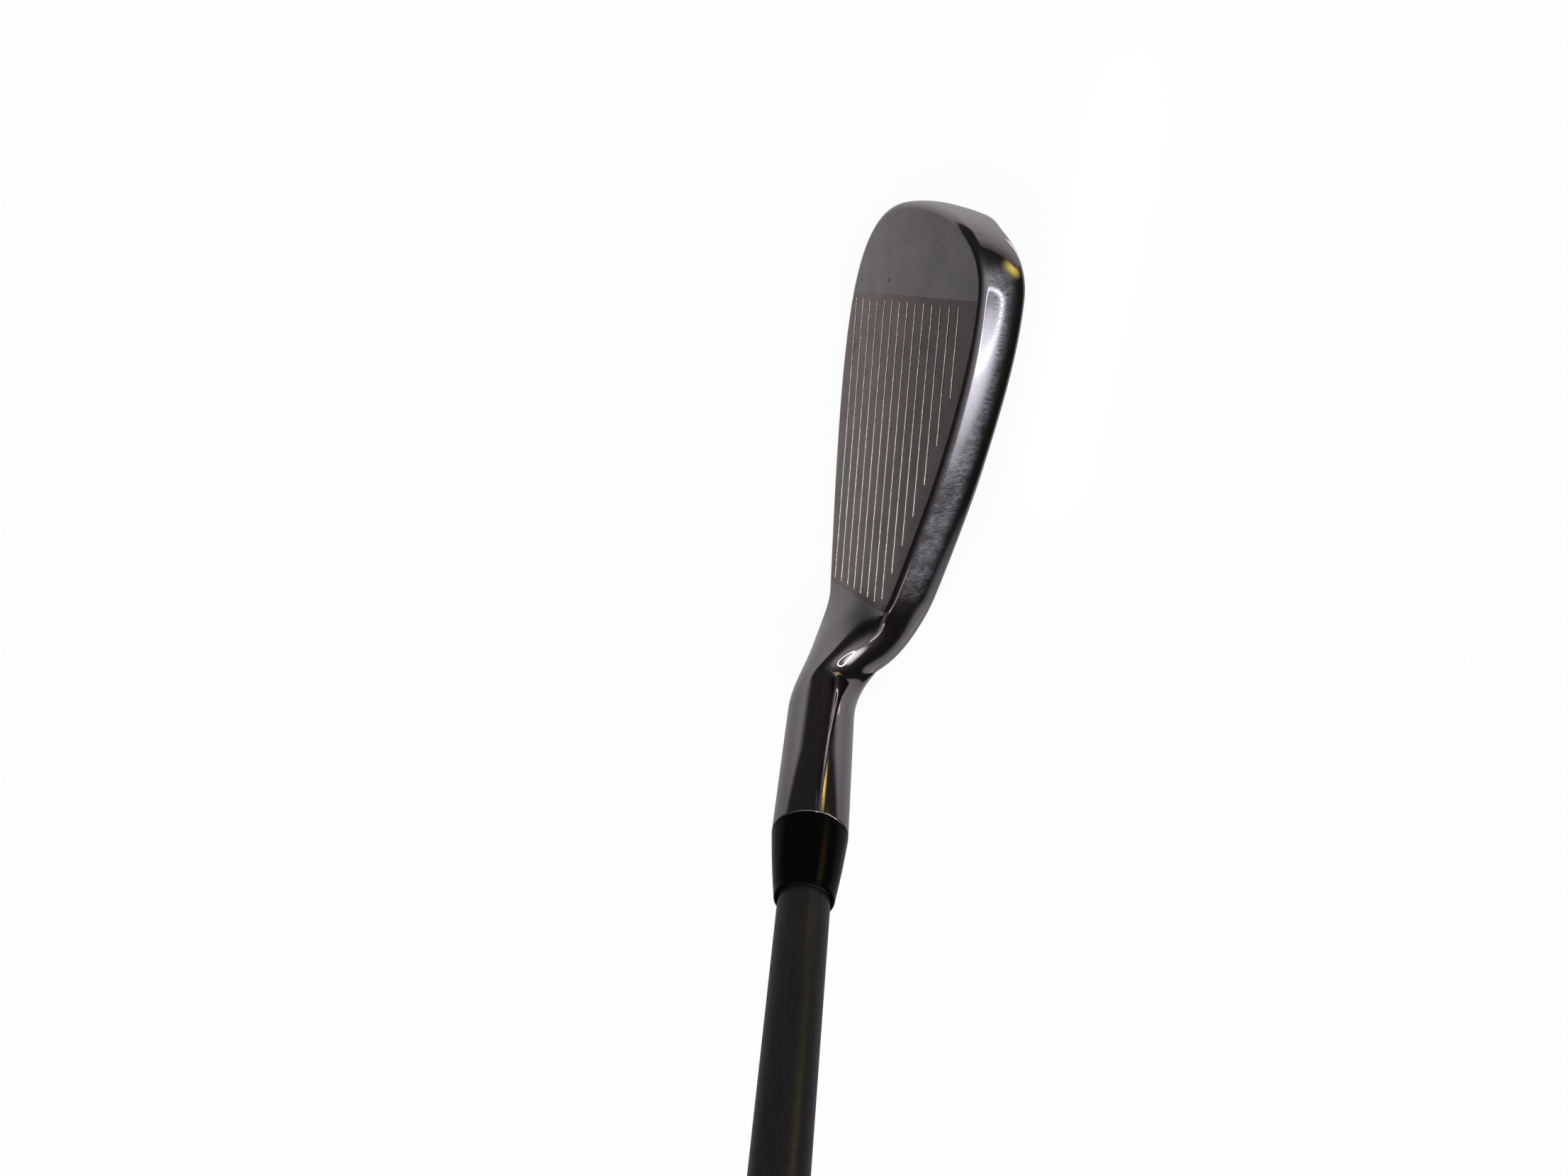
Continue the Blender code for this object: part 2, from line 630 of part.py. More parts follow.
def main():
    for old in list(bpy.data.objects):
        bpy.data.objects.remove(old, do_unlink=True)
    rings = head_rings()
    ground, spot = rest_on_ground(rings)
    face_turn = Matrix.Rotation(math.pi / 2 - LOFT, 4, "X")
    rest = face_turn @ Vector(spot)
    face_frame = make_empty("face_frame", Matrix.Translation((-rest.x, -rest.y, -ground)) @ face_turn)
    foot = face_frame.matrix_world @ Vector(FOOT_IN_FACE)
    shaft_turn = Matrix.Rotation(math.pi / 2 - LIE, 4, "Y")
    shaft_axis = make_empty("shaft_axis", Matrix.Translation(foot) @ shaft_turn)

    steel = make_material("satin_steel", (0.45, 0.43, 0.43), 0.3, 1.0)
    head = head_solid(rings, face_frame, steel)
    cut_score_lines(head, face_frame)
    pad_front = FACE_THICKNESS + CLEARANCE
    badge_front = pad_front + PAD_THICKNESS + CLEARANCE
    plate("badge_pad", cavity_outline(BADGE_MARGIN + PAD_INSET), pad_front, PAD_THICKNESS, face_frame,
          make_material("foam_pad", (0.05, 0.05, 0.05), 0.9, 0.0))
    plate("cavity_badge", cavity_outline(BADGE_MARGIN), badge_front, BADGE_THICKNESS, face_frame,
          make_material("badge_plate", (0.10, 0.10, 0.11), 0.35, 1.0))
    tip_weight(shaft_axis, make_material("tip_brass", (0.70, 0.52, 0.25), 0.35, 1.0))
    shaft(shaft_axis, make_material("carbon_fibre", (0.03, 0.027, 0.027), 0.25, 0.0))
    ferrule(shaft_axis, make_material("ferrule_black", (0.01, 0.01, 0.01), 0.15, 0.0))
    grip_tape(shaft_axis, make_material("tape", (0.70, 0.68, 0.62), 0.7, 0.0))
    grip_sleeve(shaft_axis, make_material("grip_rubber", (0.02, 0.02, 0.02), 0.75, 0.0))
    grip_cap(shaft_axis, make_material("cap_rubber", (0.02, 0.02, 0.02), 0.65, 0.0))


main()
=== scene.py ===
"""Looks of an iron golf club at address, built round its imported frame.

The file is laid out as an add-on: settings, operators for the pieces and the stage, and their panel.
The head is modelled in the frame of its striking face: X along the score lines from toe to heel,
Y up the face, Z out of the face. Everything round is modelled along the shaft axis, from its foot,
the point where that axis crosses the plane of the face. All lengths are metres.
"""

import json
import math

import bmesh
import bpy
import numpy as np
from bpy.props import FloatProperty, FloatVectorProperty, IntProperty, PointerProperty
from mathutils import Matrix, Vector


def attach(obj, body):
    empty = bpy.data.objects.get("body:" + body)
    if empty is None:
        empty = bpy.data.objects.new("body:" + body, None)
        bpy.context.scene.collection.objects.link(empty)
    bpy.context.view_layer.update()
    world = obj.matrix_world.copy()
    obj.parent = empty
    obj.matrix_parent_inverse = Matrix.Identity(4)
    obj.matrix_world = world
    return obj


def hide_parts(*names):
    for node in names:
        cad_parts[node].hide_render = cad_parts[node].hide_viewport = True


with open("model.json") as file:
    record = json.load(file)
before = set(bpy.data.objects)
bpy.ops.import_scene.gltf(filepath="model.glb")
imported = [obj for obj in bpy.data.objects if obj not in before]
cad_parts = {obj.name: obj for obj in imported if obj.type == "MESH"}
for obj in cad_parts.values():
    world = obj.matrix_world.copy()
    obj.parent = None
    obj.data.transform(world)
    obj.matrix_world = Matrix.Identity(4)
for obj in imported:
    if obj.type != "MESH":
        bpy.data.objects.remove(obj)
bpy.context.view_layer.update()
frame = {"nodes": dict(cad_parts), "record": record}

bl_info = {
    "name": "Iron golf club",
    "version": (1, 0, 0),
    "blender": (4, 5, 0),
    "location": "View3D > Sidebar > Club",
    "description": "Builds the finished pieces of an iron golf club round its frame",
    "category": "Object",
}

# Face outline, up the face from the first score line
TOE_TIP = np.array((-0.0463, 0.0187))
TOE_UPPER_PULL = 0.0145
TOE_LOWER_PULL = 0.0178
APEX = np.array((-0.0315, 0.0503))
APEX_TOE_PULL = 0.0100
APEX_TOPLINE_PULL = 0.0106
TOPLINE_MID = np.array((0.0, 0.0414))
TOPLINE_MID_FALL = math.radians(24.0)
TOPLINE_MID_PULL = 0.0088
TOPLINE_HEEL = np.array((0.0312, 0.0248))
TOPLINE_HEEL_FALL = math.radians(29.0)
TOPLINE_HEEL_PULL = 0.0098
LEADING_LOW = np.array((-0.0066, -0.0037))
LEADING_TOE_PULL = 0.0250
LEADING_HEEL_PULL = 0.0142
BLADE_HEEL = np.array((0.0330, -0.0016))
BLADE_HEEL_RISE = math.radians(4.0)
BLADE_HEEL_PULL = 0.0096

# Band round the face: front edge radius, crown length and turn, back edge radius
TOE_EDGE_RADIUS = 0.0018
TOE_CROWN = 0.0053
TOE_BACK_RADIUS = 0.0018
TOPLINE_EDGE_RADIUS = 0.0016
TOPLINE_CROWN = 0.0062
TOPLINE_BACK_RADIUS = 0.0026
HEEL_CROWN = 0.0070
TOE_SHARE = 0.32
TOE_SHOULDER = 0.0014
TOE_SHOULDER_PLACE = 0.16
TOE_SHOULDER_SPREAD = 0.042
BAND_EDGE_TURN = math.radians(78.0)
BAND_CROWN_TURN = math.radians(26.0)
BAND_BACK_TURN = math.radians(80.0)
LEADING_RADIUS = 0.0030
SOLE_LENGTH = 0.0122
SOLE_BOUNCE = math.radians(4.0)
SOLE_CAMBER = math.radians(11.0)
TRAILING_RADIUS = 0.0028
FLANGE_LEAN = math.radians(30.0)

# Cavity in the back and the badge in it
FACE_THICKNESS = 0.0026
LIP_HEIGHT = 0.0052
FLANGE_HEIGHT = 0.0105
WALL_DRAFT = 0.0012
RIM_EASE = 0.0011
FLOOR_EASE = 0.0009
CAVITY_TOE_X = -0.0405
CAVITY_HEEL_X = 0.0260
CAVITY_END_SLOPE = 0.0045
CAVITY_GRIND_PASSES = 16
CAVITY_GRIND_REACH = 0.0060
CAVITY_GRIND_EDGE = 5
BADGE_MARGIN = 0.0012
BADGE_FRONT = 0.0040
BADGE_THICKNESS = 0.0012
BADGE_CORNER = 0.0020
BADGE_BEVEL = 0.0003
RIB_FIRST_X = -0.0330
RIB_SHARE = 0.86
RIB_TAPER = 0.5

# Zone of the score lines
LINE_PITCH = 0.0034
LINE_ZONE = 0.0615
LINE_END_GAP = 0.0012
LINE_TOP_GAP = 0.0027
LINE_TAPER = 0.75
SPOT_LINES_UP = 5.5

# Hosel and ferrule, measured along the shaft axis from its foot
NECK_TOP = 0.0276
HOSEL_TOP = 0.0579
BORE_DEPTH = 0.0320
HOSEL_NECK_RADIUS = 0.00675
HOSEL_TOP_RADIUS = 0.00710
BORE_RADIUS = 0.0050
HOSEL_RIM = 0.0003
NECK_START_PULL = 0.48
NECK_FRONT_START_PULL = 0.04
NECK_END_PULL = 0.50
NECK_FRONT_END_PULL = 0.64
NECK_CROOK_PULL = 0.53
NECK_CROOK_NARROWING = 12.0
NECK_POLISH_PASSES = 600
NECK_POLISH_TURN = math.radians(20.0)
NECK_POLISH_NARROWING = 7.0
NECK_POLISH_START = -8
NECK_POLISH_RISE = 22
NECK_POLISH_FADE = 50
NECK_FACE_TOP_TURN = math.radians(50.0)
NECK_FACE_LOW_TURN = math.radians(125.0)
NECK_SOLE_BACK_TURN = math.radians(220.0)
NECK_TOPLINE_BACK_TURN = math.radians(318.0)
FERRULE_TOP_RADIUS = 0.0055
FERRULE_BULGE = 0.0001
FERRULE_TOP_EASE = 0.0010

# Shaft, grip and cap
SHAFT_TIP_RADIUS = 0.0047
SHAFT_TIP_PARALLEL = 0.2250
SHAFT_BUTT_RADIUS = 0.0076
SHAFT_WALL = 0.0014
GRIP_MOUTH_RADIUS = 0.0084
GRIP_MOUTH_EASE = 0.0008
GRIP_BUTT_RADIUS = 0.0134
GRIP_CORE_RADIUS = 0.0086
GRIP_CORE_MOUTH_RADIUS = 0.0073
GRIP_BEAD = 0.0060
GRIP_BEAD_STEP = 0.0006
GRIP_SWELL = 1.15
GRIP_RING_DEPTH = 0.0004
GRIP_RING_WIDTH = 0.0012
GRIP_RING_PLACES = (0.018, 0.955)
MARK_MARGIN = 0.0140
CAP_SPIGOT_RADIUS = 0.0083
CAP_VENT_RADIUS = 0.0012
CAP_GROOVE_SHARE = 0.62
CAP_SEAT_GAP = 0.0003
CAP_SOFT = 0.0003
CAP_EDGE = 0.0016

# Fineness of the meshes
BLADE_STEPS = 150
NECK_STEPS = 60
ARC_STEPS = 14
BAND_STEPS = 3 * ARC_STEPS
FACE_STEPS = 10
FLOOR_STEPS = 6
EASE_STEPS = 5
EASE_MOST = 0.48
LINE_STEPS = 220
BADGE_COLUMNS = 60
TURNED_SIDES = 96
TAPER_STEPS = 40
CURVE_SAMPLES = 400
MERGE_DISTANCE = 1e-6
SHARP_ANGLE = math.radians(32.0)

# Finishes of the head, in the frame of the face: where each one gives way to the next, and its tone
FACE_EDGE = (-0.00008, -0.00002)
SATIN_HEEL_EDGE = (0.041, 0.031)
ZONE_BLUR = 0.00006
# Painted shade: the face darkens round this spot at the heel, next to the neck
HEEL_SHADE_PLACE = (0.0350, 0.0165, 0.0014)
HEEL_SHADE_RADIUS = 0.0125
HEEL_SHADE_TONE = 0.3
# Painted shade: the face darkens from low to high up, towards the topline, where its reflection of the
# floor fades
FACE_SHADE_HEIGHTS = (0.002, 0.040)
FACE_SHADE_LOW_TONE = 1.04
FACE_SHADE_SATIN_TONE = 0.76
FACE_SHADE_ZONE_TONE = 0.56
HAZE_SLOPE = -0.407
HAZE_HEIGHT = 0.0375
HAZE_LOW_EDGE = (-0.003, 0.0)
HAZE_HEEL_EDGE = (0.034, 0.018)
HAZE_FRONT_EDGE = (-0.0001, -0.0016)
HAZE_BACK_EDGE = (-0.0072, -0.0040)
HAZE_METAL = 0.60
HAZE_ROUGHNESS = 0.27
POLISH_ROUGHNESS = (0.055, 0.095)
SATIN_ROUGHNESS = 0.30
BLAST_ROUGHNESS = 0.44
SATIN_RELIEF = 0.35
POLISH_RELIEF = 0.10
LINE_RAGGEDNESS = (0.00003, 0.00007)
# Depth where the bright bare edge, painted as a glint, gives way to dirt and painted shade deeper in the
# score lines, from toe to heel
LINE_BARE_DEPTH = (0.00009, 0.00028)
LINE_DIRT_AND_SHADE_BLUR = 0.00002
STAIN_SHARE = 0.55
PIT_SHARE = 0.7

# Finishes of the other pieces
DUST_SHARE = 0.4
FLECK_SHARE = 0.55
SCUFF_SHARE = 0.8
FERRULE_GLOSS = 0.10
PLATE_ROUGHNESS = 0.34
RIB_ROUGHNESS = 0.22
SPECK_CORE = 0.6

# Colours that only tint another one
STAIN = (0.10, 0.085, 0.08)
PIT_DIRT = (0.06, 0.055, 0.055)
TOE_LINE_STEEL = (0.76, 0.69, 0.64)
DUST = (0.10, 0.10, 0.10)
CARBON_CLOUD = (0.0165, 0.0148, 0.0168)
SCUFF = (0.15, 0.145, 0.14)
RUBBER_WEAR = (0.034, 0.033, 0.033)
WHITE = (1.0, 1.0, 1.0)
LAMP_WHITE = (1.0, 0.98, 0.97)

# Camera, in the frame of the face
CAMERA_PLACE = Vector((-0.03282, 0.2453, 0.1078))
CAMERA_FORWARD = Vector((0.2375, -0.9045, -0.3543))
CAMERA_RIGHT = Vector((-0.0658, 0.3490, -0.9348))
SENSOR_WIDTH = 36.0
CAMERA_LENS = 29.244
CAMERA_NEAREST = 0.01

# Floor and lamps
FLOOR_HALF = 4.0
FLOOR_GAP = 0.0003
FLOOR_ROUGHNESS = 0.9
FLOOR_WHITE = 0.93
BACKDROP_WHITE = 0.975
LAMP_DISTANCE = 0.8
RING_LAMP_SIDES = 64
HEAD_CENTRE = Vector((0.0, 0.0, 0.03))
TOE_CARD_DISTANCE = 0.03
TOE_CARD_IN_FACE = Vector((-0.0398, 0.0483, -0.0041))

# Room that shows in the metal: its brightness at elevations in degrees, more on the toe side
ROOM = (
    (-90, 0.42), (-70, 0.35), (-55, 0.30), (-40, 0.25), (-28, 0.205), (-23, 0.018),
    (0, 0.015), (12, 0.022), (30, 0.06), (50, 0.20), (90, 0.45))
ROOM_TOE_SIDE = (-0.15, -0.75)
ROOM_TOE_GAIN = 1.75

# Glows in the room: azimuth, elevation and angle from middle to rim, in degrees, and strength
ROOM_GLOWS = ((47.0, 48.0, 28.0, 1.7), (36.0, -20.0, 15.0, 0.25))

# The club's frames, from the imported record
MOUNTS = {mount["name"]: mount for mount in frame["record"]["mounts"]}
FACE_SPOT = Vector(MOUNTS["striking_face"]["pos_m"])
FACE_NORMAL = Vector(MOUNTS["striking_face"]["axis"])
SHAFT_SPOT = Vector(MOUNTS["grip_hold"]["pos_m"])
SHAFT_AXIS = Vector(MOUNTS["grip_hold"]["axis"])
LOFT = math.asin(FACE_NORMAL.z)
LIE = math.asin(SHAFT_AXIS.z)
FACE_TURN = Matrix.Rotation(math.pi / 2 - LOFT, 4, "X")
FACE_ORIGIN = FACE_SPOT - FACE_TURN @ Vector((0, SPOT_LINES_UP * LINE_PITCH, 0))
FACE_FRAME = Matrix.Translation(FACE_ORIGIN) @ FACE_TURN
FOOT_RUN = (FACE_SPOT - SHAFT_SPOT).dot(FACE_NORMAL) / SHAFT_AXIS.dot(FACE_NORMAL)
AXIS_FOOT = SHAFT_SPOT + SHAFT_AXIS * FOOT_RUN
SHAFT_TURN = Matrix.Rotation(math.pi / 2 - LIE, 4, "Y")
SHAFT_FRAME = Matrix.Translation(AXIS_FOOT) @ SHAFT_TURN
FOOT_IN_FACE = np.array(FACE_FRAME.inverted() @ AXIS_FOOT)
AXIS_IN_FACE = np.array(FACE_TURN.inverted() @ SHAFT_AXIS)
INSIDE_IN_FACE = np.array(FACE_TURN.inverted() @ SHAFT_TURN @ Vector((-1, 0, 0)))
FRONT_IN_FACE = np.array(FACE_TURN.inverted() @ Vector((0, -1, 0)))
TOE_CARD_SPOT = FACE_FRAME @ TOE_CARD_IN_FACE


def node_span(name):
    """Where a CAD node starts and ends along the shaft axis."""
    along = [(vertex.co - AXIS_FOOT).dot(SHAFT_AXIS) for vertex in frame["nodes"][name].data.vertices]
    return min(along), max(along)


# Settings

def colour_setting(name, default, description):
    return FloatVectorProperty(
        name=name, description=description, default=default, subtype="COLOR", min=0.0, max=1.0)


def length_setting(name, default, description):
    return FloatProperty(
        name=name, description=description, default=default, unit="LENGTH", min=0.0, precision=5)


def count_setting(name, default, description, least=1):
    return IntProperty(name=name, description=description, default=default, min=least)


def light_setting(name, default, description):
    return FloatProperty(name=name, description=description, default=default, min=0.0)


class HeadSettings(bpy.types.PropertyGroup):
    """Score lines and finishes of the head."""

    line_count: count_setting("Score lines", 14, "How many lines the face has")
    line_width: length_setting("Line width", 0.00082, "Width of a score line at the face")
    line_depth: length_setting("Line depth", 0.00046, "Depth of a score line")
    line_wear: length_setting("Line wear", 0.00010, "How far the worn edges of the lines wander")
    polished: colour_setting("Polished steel", (0.44, 0.398, 0.425), "Band, neck, hosel and sole")
    satin: colour_setting("Satin steel", (0.55, 0.502, 0.522), "Toe and heel of the face")
    blasted: colour_setting("Blasted steel", (0.63, 0.54, 0.525), "Face between the score lines")
    hazed: colour_setting("Hazed steel", (0.385, 0.405, 0.48), "Handling haze on the topline")
    # Bare worn metal at the edges of the score lines, its colour painted near-white as a glint
    bright: colour_setting("Line steel", (0.95, 0.93, 0.91), "Bare metal at the edges of the score lines")
    # Dirt and painted shade deep in the score lines
    dirt_and_shade: colour_setting("Line dirt", (0.035, 0.030, 0.027), "Dirt deep in the score lines")


class BadgeSettings(bpy.types.PropertyGroup):
    """Badge in the cavity."""

    plate: colour_setting("Plate", (0.07, 0.07, 0.075), "Dark brushed plate")
    rib: colour_setting("Ribs", (0.50, 0.50, 0.51), "Bright raised ribs")
    rib_count: count_setting("Ribs", 5, "How many ribs cross the plate")
    rib_pitch: length_setting("Rib pitch", 0.0032, "Distance between ribs")
    rib_width: length_setting("Rib width", 0.0010, "Width of one rib")
    rib_height: length_setting("Rib height", 0.0004, "How far a rib stands proud")


class ShaftSettings(bpy.types.PropertyGroup):
    """Shaft and ferrule."""

    carbon: colour_setting("Carbon fibre", (0.012, 0.0112, 0.0135), "Dark shaft under its clear coat")
    fleck: colour_setting("Flecks", (0.16, 0.155, 0.17), "Fine metallic flecks in the coat")
    ferrule: colour_setting("Ferrule", (0.0022, 0.0022, 0.0022), "Black polished collar")


class GripSettings(bpy.types.PropertyGroup):
    """Grip and its moulded marks."""

    rubber: colour_setting("Rubber", (0.018, 0.018, 0.019), "Black moulded rubber")
    columns: count_setting("Columns", 22, "Marks round the grip", least=3)
    rows: count_setting("Rows", 58, "Rows of marks along the grip", least=2)
    mark_length: length_setting("Mark length", 0.0036, "Length of one raised mark")
    mark_width: length_setting("Mark width", 0.0011, "Width of one raised mark")
    mark_height: length_setting("Mark height", 0.0003, "How far a mark stands proud")
    mark_tilt: FloatProperty(
        name="Mark tilt", description="Slant of the marks against the shaft", default=math.radians(38.0),
        subtype="ANGLE")


class StageSettings(bpy.types.PropertyGroup):
    """Floor and light."""

    floor: colour_setting("Floor", (0.82, 0.82, 0.82), "Pale floor")
    fill: light_setting("Fill", 0.45, "Soft light from all round")
    ring: light_setting("Ring lamp", 5.0, "Brightness of the ring lamp")
    front: light_setting("Front lamp", 1.6, "Power of the soft front lamp")
    overhead: light_setting("Overhead lamp", 9.0, "Power of the soft top lamp")


# Curves and outlines

def heading(angle):
    return np.array((math.cos(angle), math.sin(angle)))


def bezier(start, start_pull, end_pull, end, t):
    t = np.asarray(t, dtype=float)[..., None]
    first = (1 - t) ** 3 * start + 3 * (1 - t) ** 2 * t * start_pull
    return first + 3 * (1 - t) * t ** 2 * end_pull + t ** 3 * end


def bezier_slope(start, start_pull, end_pull, end, t):
    t = np.asarray(t, dtype=float)[..., None]
    first = (1 - t) ** 2 * (start_pull - start) + 2 * (1 - t) * t * (end_pull - start_pull)
    return first + t ** 2 * (end - end_pull)


def smooth(value):
    value = min(max(value, 0.0), 1.0)
    return value * value * (3.0 - 2.0 * value)


def mix(first, second, share):
    return first + (second - first) * share


def columns_at(wanted, places, table):
    """Both columns of a table, read between its rows at wanted places."""
    return np.column_stack([np.interp(wanted, places, table[:, axis]) for axis in (0, 1)])


def even_points(curves, count):
    """Points and unit tangents at equal distances along joined curves."""
    fine = np.linspace(0.0, 1.0, CURVE_SAMPLES)
    points = np.vstack([bezier(*curve, fine) for curve in curves])
    slopes = np.vstack([bezier_slope(*curve, fine) for curve in curves])
    slopes /= np.linalg.norm(slopes, axis=1)[:, None]
    steps = np.linalg.norm(np.diff(points, axis=0), axis=1)
    run = np.concatenate(([0.0], np.cumsum(steps)))
    wanted = np.linspace(0.0, run[-1], count)
    tangents = columns_at(wanted, run, slopes)
    return columns_at(wanted, run, points), tangents / np.linalg.norm(tangents, axis=1)[:, None]


def upper_outline(count):
    """From the toe tip over the apex and along the topline to the heel."""
    along_mid = heading(-TOPLINE_MID_FALL) * TOPLINE_MID_PULL
    along_heel = heading(-TOPLINE_HEEL_FALL) * TOPLINE_HEEL_PULL
    curves = (
        (TOE_TIP, TOE_TIP + (0.0, TOE_UPPER_PULL), APEX - (APEX_TOE_PULL, 0.0), APEX),
        (APEX, APEX + (APEX_TOPLINE_PULL, 0.0), TOPLINE_MID - along_mid, TOPLINE_MID),
        (TOPLINE_MID, TOPLINE_MID + along_mid, TOPLINE_HEEL - along_heel, TOPLINE_HEEL),
    )
    return even_points(curves, count)


def lower_outline(count):
    """From the toe tip under the toe and along the leading edge to the heel."""
    along_heel = heading(BLADE_HEEL_RISE) * BLADE_HEEL_PULL
    curves = (
        (TOE_TIP, TOE_TIP - (0.0, TOE_LOWER_PULL), LEADING_LOW - (LEADING_TOE_PULL, 0.0), LEADING_LOW),
        (LEADING_LOW, LEADING_LOW + (LEADING_HEEL_PULL, 0.0), BLADE_HEEL - along_heel, BLADE_HEEL),
    )
    return even_points(curves, count)


def eased(corners, reaches):
    """A line through corners, with each inner corner replaced by a short curve of the given reach."""
    corners = np.asarray(corners, dtype=float)
    points = [corners[0]]
    for before, corner, after, reach in zip(corners, corners[1:], corners[2:], reaches):
        ends = []
        for side in (before - corner, after - corner):
            length = np.linalg.norm(side)
            ends.append(corner + side / max(length, MERGE_DISTANCE) * min(reach, length * EASE_MOST))
        for t in np.linspace(0.0, 1.0, EASE_STEPS):
            points.append((1 - t) ** 2 * ends[0] + 2 * (1 - t) * t * corner + t ** 2 * ends[1])
    points.append(corners[-1])
    return np.array(points)


# Head

def arc(start, angle, radius, turn):
    """Points after the start of an arc of steady turn, and the heading at its end."""
    turns = angle + turn * np.arange(1, ARC_STEPS + 1) / ARC_STEPS
    outward = start[0] + radius * (np.sin(turns) - math.sin(angle))
    back = start[1] + radius * (math.cos(angle) - np.cos(turns))
    return np.column_stack((outward, back)), angle + turn


def band_profile(edge_radius, edge_turn, crown, crown_turn, back_radius, back_turn):
    """(outward, back) points from the face edge over the band to its back edge."""
    points = np.zeros((1, 2))
    angle = 0.0
    arcs = ((edge_radius, edge_turn), (crown / crown_turn, crown_turn), (back_radius, back_turn))
    for radius, turn in arcs:
        stretch, angle = arc(points[-1], angle, radius, turn)
        points = np.vstack((points, stretch))
    return points


def rounded_band(edge_radius, crown, back_radius):
    return np.array((edge_radius, BAND_EDGE_TURN, crown, BAND_CROWN_TURN, back_radius, BAND_BACK_TURN))


# Place of the crown's length among a band's numbers, and the bands
CROWN = 2
TOE_BAND = rounded_band(TOE_EDGE_RADIUS, TOE_CROWN, TOE_BACK_RADIUS)
TOPLINE_BAND = rounded_band(TOPLINE_EDGE_RADIUS, TOPLINE_CROWN, TOPLINE_BACK_RADIUS)
HEEL_BAND = rounded_band(TOPLINE_EDGE_RADIUS, HEEL_CROWN, TOPLINE_BACK_RADIUS)
SOLE_EDGE_TURN = math.pi / 2 + LOFT - SOLE_BOUNCE
SOLE_BAND = np.array((
    LEADING_RADIUS, SOLE_EDGE_TURN, SOLE_LENGTH, SOLE_CAMBER, TRAILING_RADIUS,
    math.pi + FLANGE_LEAN - SOLE_EDGE_TURN - SOLE_CAMBER))


def band_points(point, tangent, outward_turn, band):
    """The band's points in the face frame, at one point of the outline."""
    outward = np.array((-tangent[1], tangent[0])) * outward_turn
    profile = band_profile(*band)
    flat = point + profile[:, :1] * outward
    return np.column_stack((flat, -profile[:, 1]))


def cavity_share(x):
    toe_side = smooth((x - CAVITY_TOE_X) / CAVITY_END_SLOPE + 0.5)
    heel_side = smooth((CAVITY_HEEL_X - x) / CAVITY_END_SLOPE + 0.5)
    return toe_side * heel_side


def back_points(top, low, band_top, band_low):
    """Points of the back from the sole's back edge up to the topline's back edge."""
    length = np.linalg.norm(low - top)
    down = (low - top) / max(length, MERGE_DISTANCE)
    flange_low = (band_low[:2] - top) @ down
    lip_low = (band_top[:2] - top) @ down
    lip = max(LIP_HEIGHT, lip_low + RIM_EASE)
    flange = length - FLANGE_HEIGHT
    flange_depth = -band_low[2] - (flange_low - flange) * math.tan(FLANGE_LEAN)
    floor_low = flange - 2 * WALL_DRAFT
    floor_top = lip + WALL_DRAFT
    floor = [(mix(floor_low, floor_top, i / FLOOR_STEPS), FACE_THICKNESS) for i in range(FLOOR_STEPS + 1)]
    corners = [(flange_low, -band_low[2]), (flange, flange_depth), *floor, (lip, -band_top[2])]
    corners.append((lip_low, -band_top[2]))
    reaches = [RIM_EASE, FLOOR_EASE] + [MERGE_DISTANCE] * (FLOOR_STEPS - 1) + [FLOOR_EASE, RIM_EASE]
    keys = eased(corners, reaches)[1:-1]
    plain = mix(band_low, band_top, np.linspace(0.0, 1.0, len(keys) + 2)[1:-1, None])
    cut = np.column_stack((top + keys[:, :1] * down, -keys[:, 1]))
    return mix(plain, cut, cavity_share((top[0] + low[0]) / 2))


def blade_rings():
    """Closed rings of points from the toe tip to the heel, the first one folded on itself."""
    tops, top_tangents = upper_outline(BLADE_STEPS + 1)
    lows, low_tangents = lower_outline(BLADE_STEPS + 1)
    rings = []
    for step in range(BLADE_STEPS + 1):
        share = step / BLADE_STEPS
        past_toe = smooth(share / TOE_SHARE)
        past_shoulder = (share - TOE_SHOULDER_PLACE) / TOE_SHOULDER_SPREAD
        top_band = mix(TOE_BAND, mix(TOPLINE_BAND, HEEL_BAND, smooth(share * 2 - 1)), past_toe)
        top_band[CROWN] += TOE_SHOULDER * math.exp(-past_shoulder ** 2)
        low_band = mix(TOE_BAND, SOLE_BAND, past_toe)
        over = band_points(tops[step], top_tangents[step], 1.0, top_band)
        under = band_points(lows[step], low_tangents[step], -1.0, low_band)
        face = [mix(over[0], under[0], i / FACE_STEPS) for i in range(FACE_STEPS)]
        back = back_points(tops[step], lows[step], over[-1], under[-1])
        rings.append(np.vstack((face, under, back, over[:0:-1])))
    return rings


def eased_grid(grid, amount, passes):
    """Moves each point of a grid of rings a share of the way to its four neighbours, in passes."""
    for _ in range(passes):
        inner = grid[1:-1]
        beside = np.roll(inner, 1, axis=1) + np.roll(inner, -1, axis=1)
        grid[1:-1] = mix(inner, (beside + grid[:-2] + grid[2:]) / 4, amount[1:-1, :, None])
    return list(grid)


def ground(rings):
    """Rings with the two ends of the cavity eased, as a grinding wheel leaves them."""
    grid = np.array(rings)
    middles = (grid[:, 0, 0] + grid[:, FACE_STEPS, 0]) / 2
    past_end = np.minimum(abs(middles - CAVITY_TOE_X), abs(middles - CAVITY_HEEL_X))
    near = np.array([smooth(2.0 - 2.0 * reach / CAVITY_GRIND_REACH) for reach in past_end])
    first = FACE_STEPS + BAND_STEPS
    last = grid.shape[1] - BAND_STEPS
    inside = [min(i - first, last - i) / CAVITY_GRIND_EDGE for i in range(grid.shape[1])]
    amount = np.outer(near, [smooth(share) for share in inside]) / 2
    return eased_grid(grid, amount, CAVITY_GRIND_PASSES)


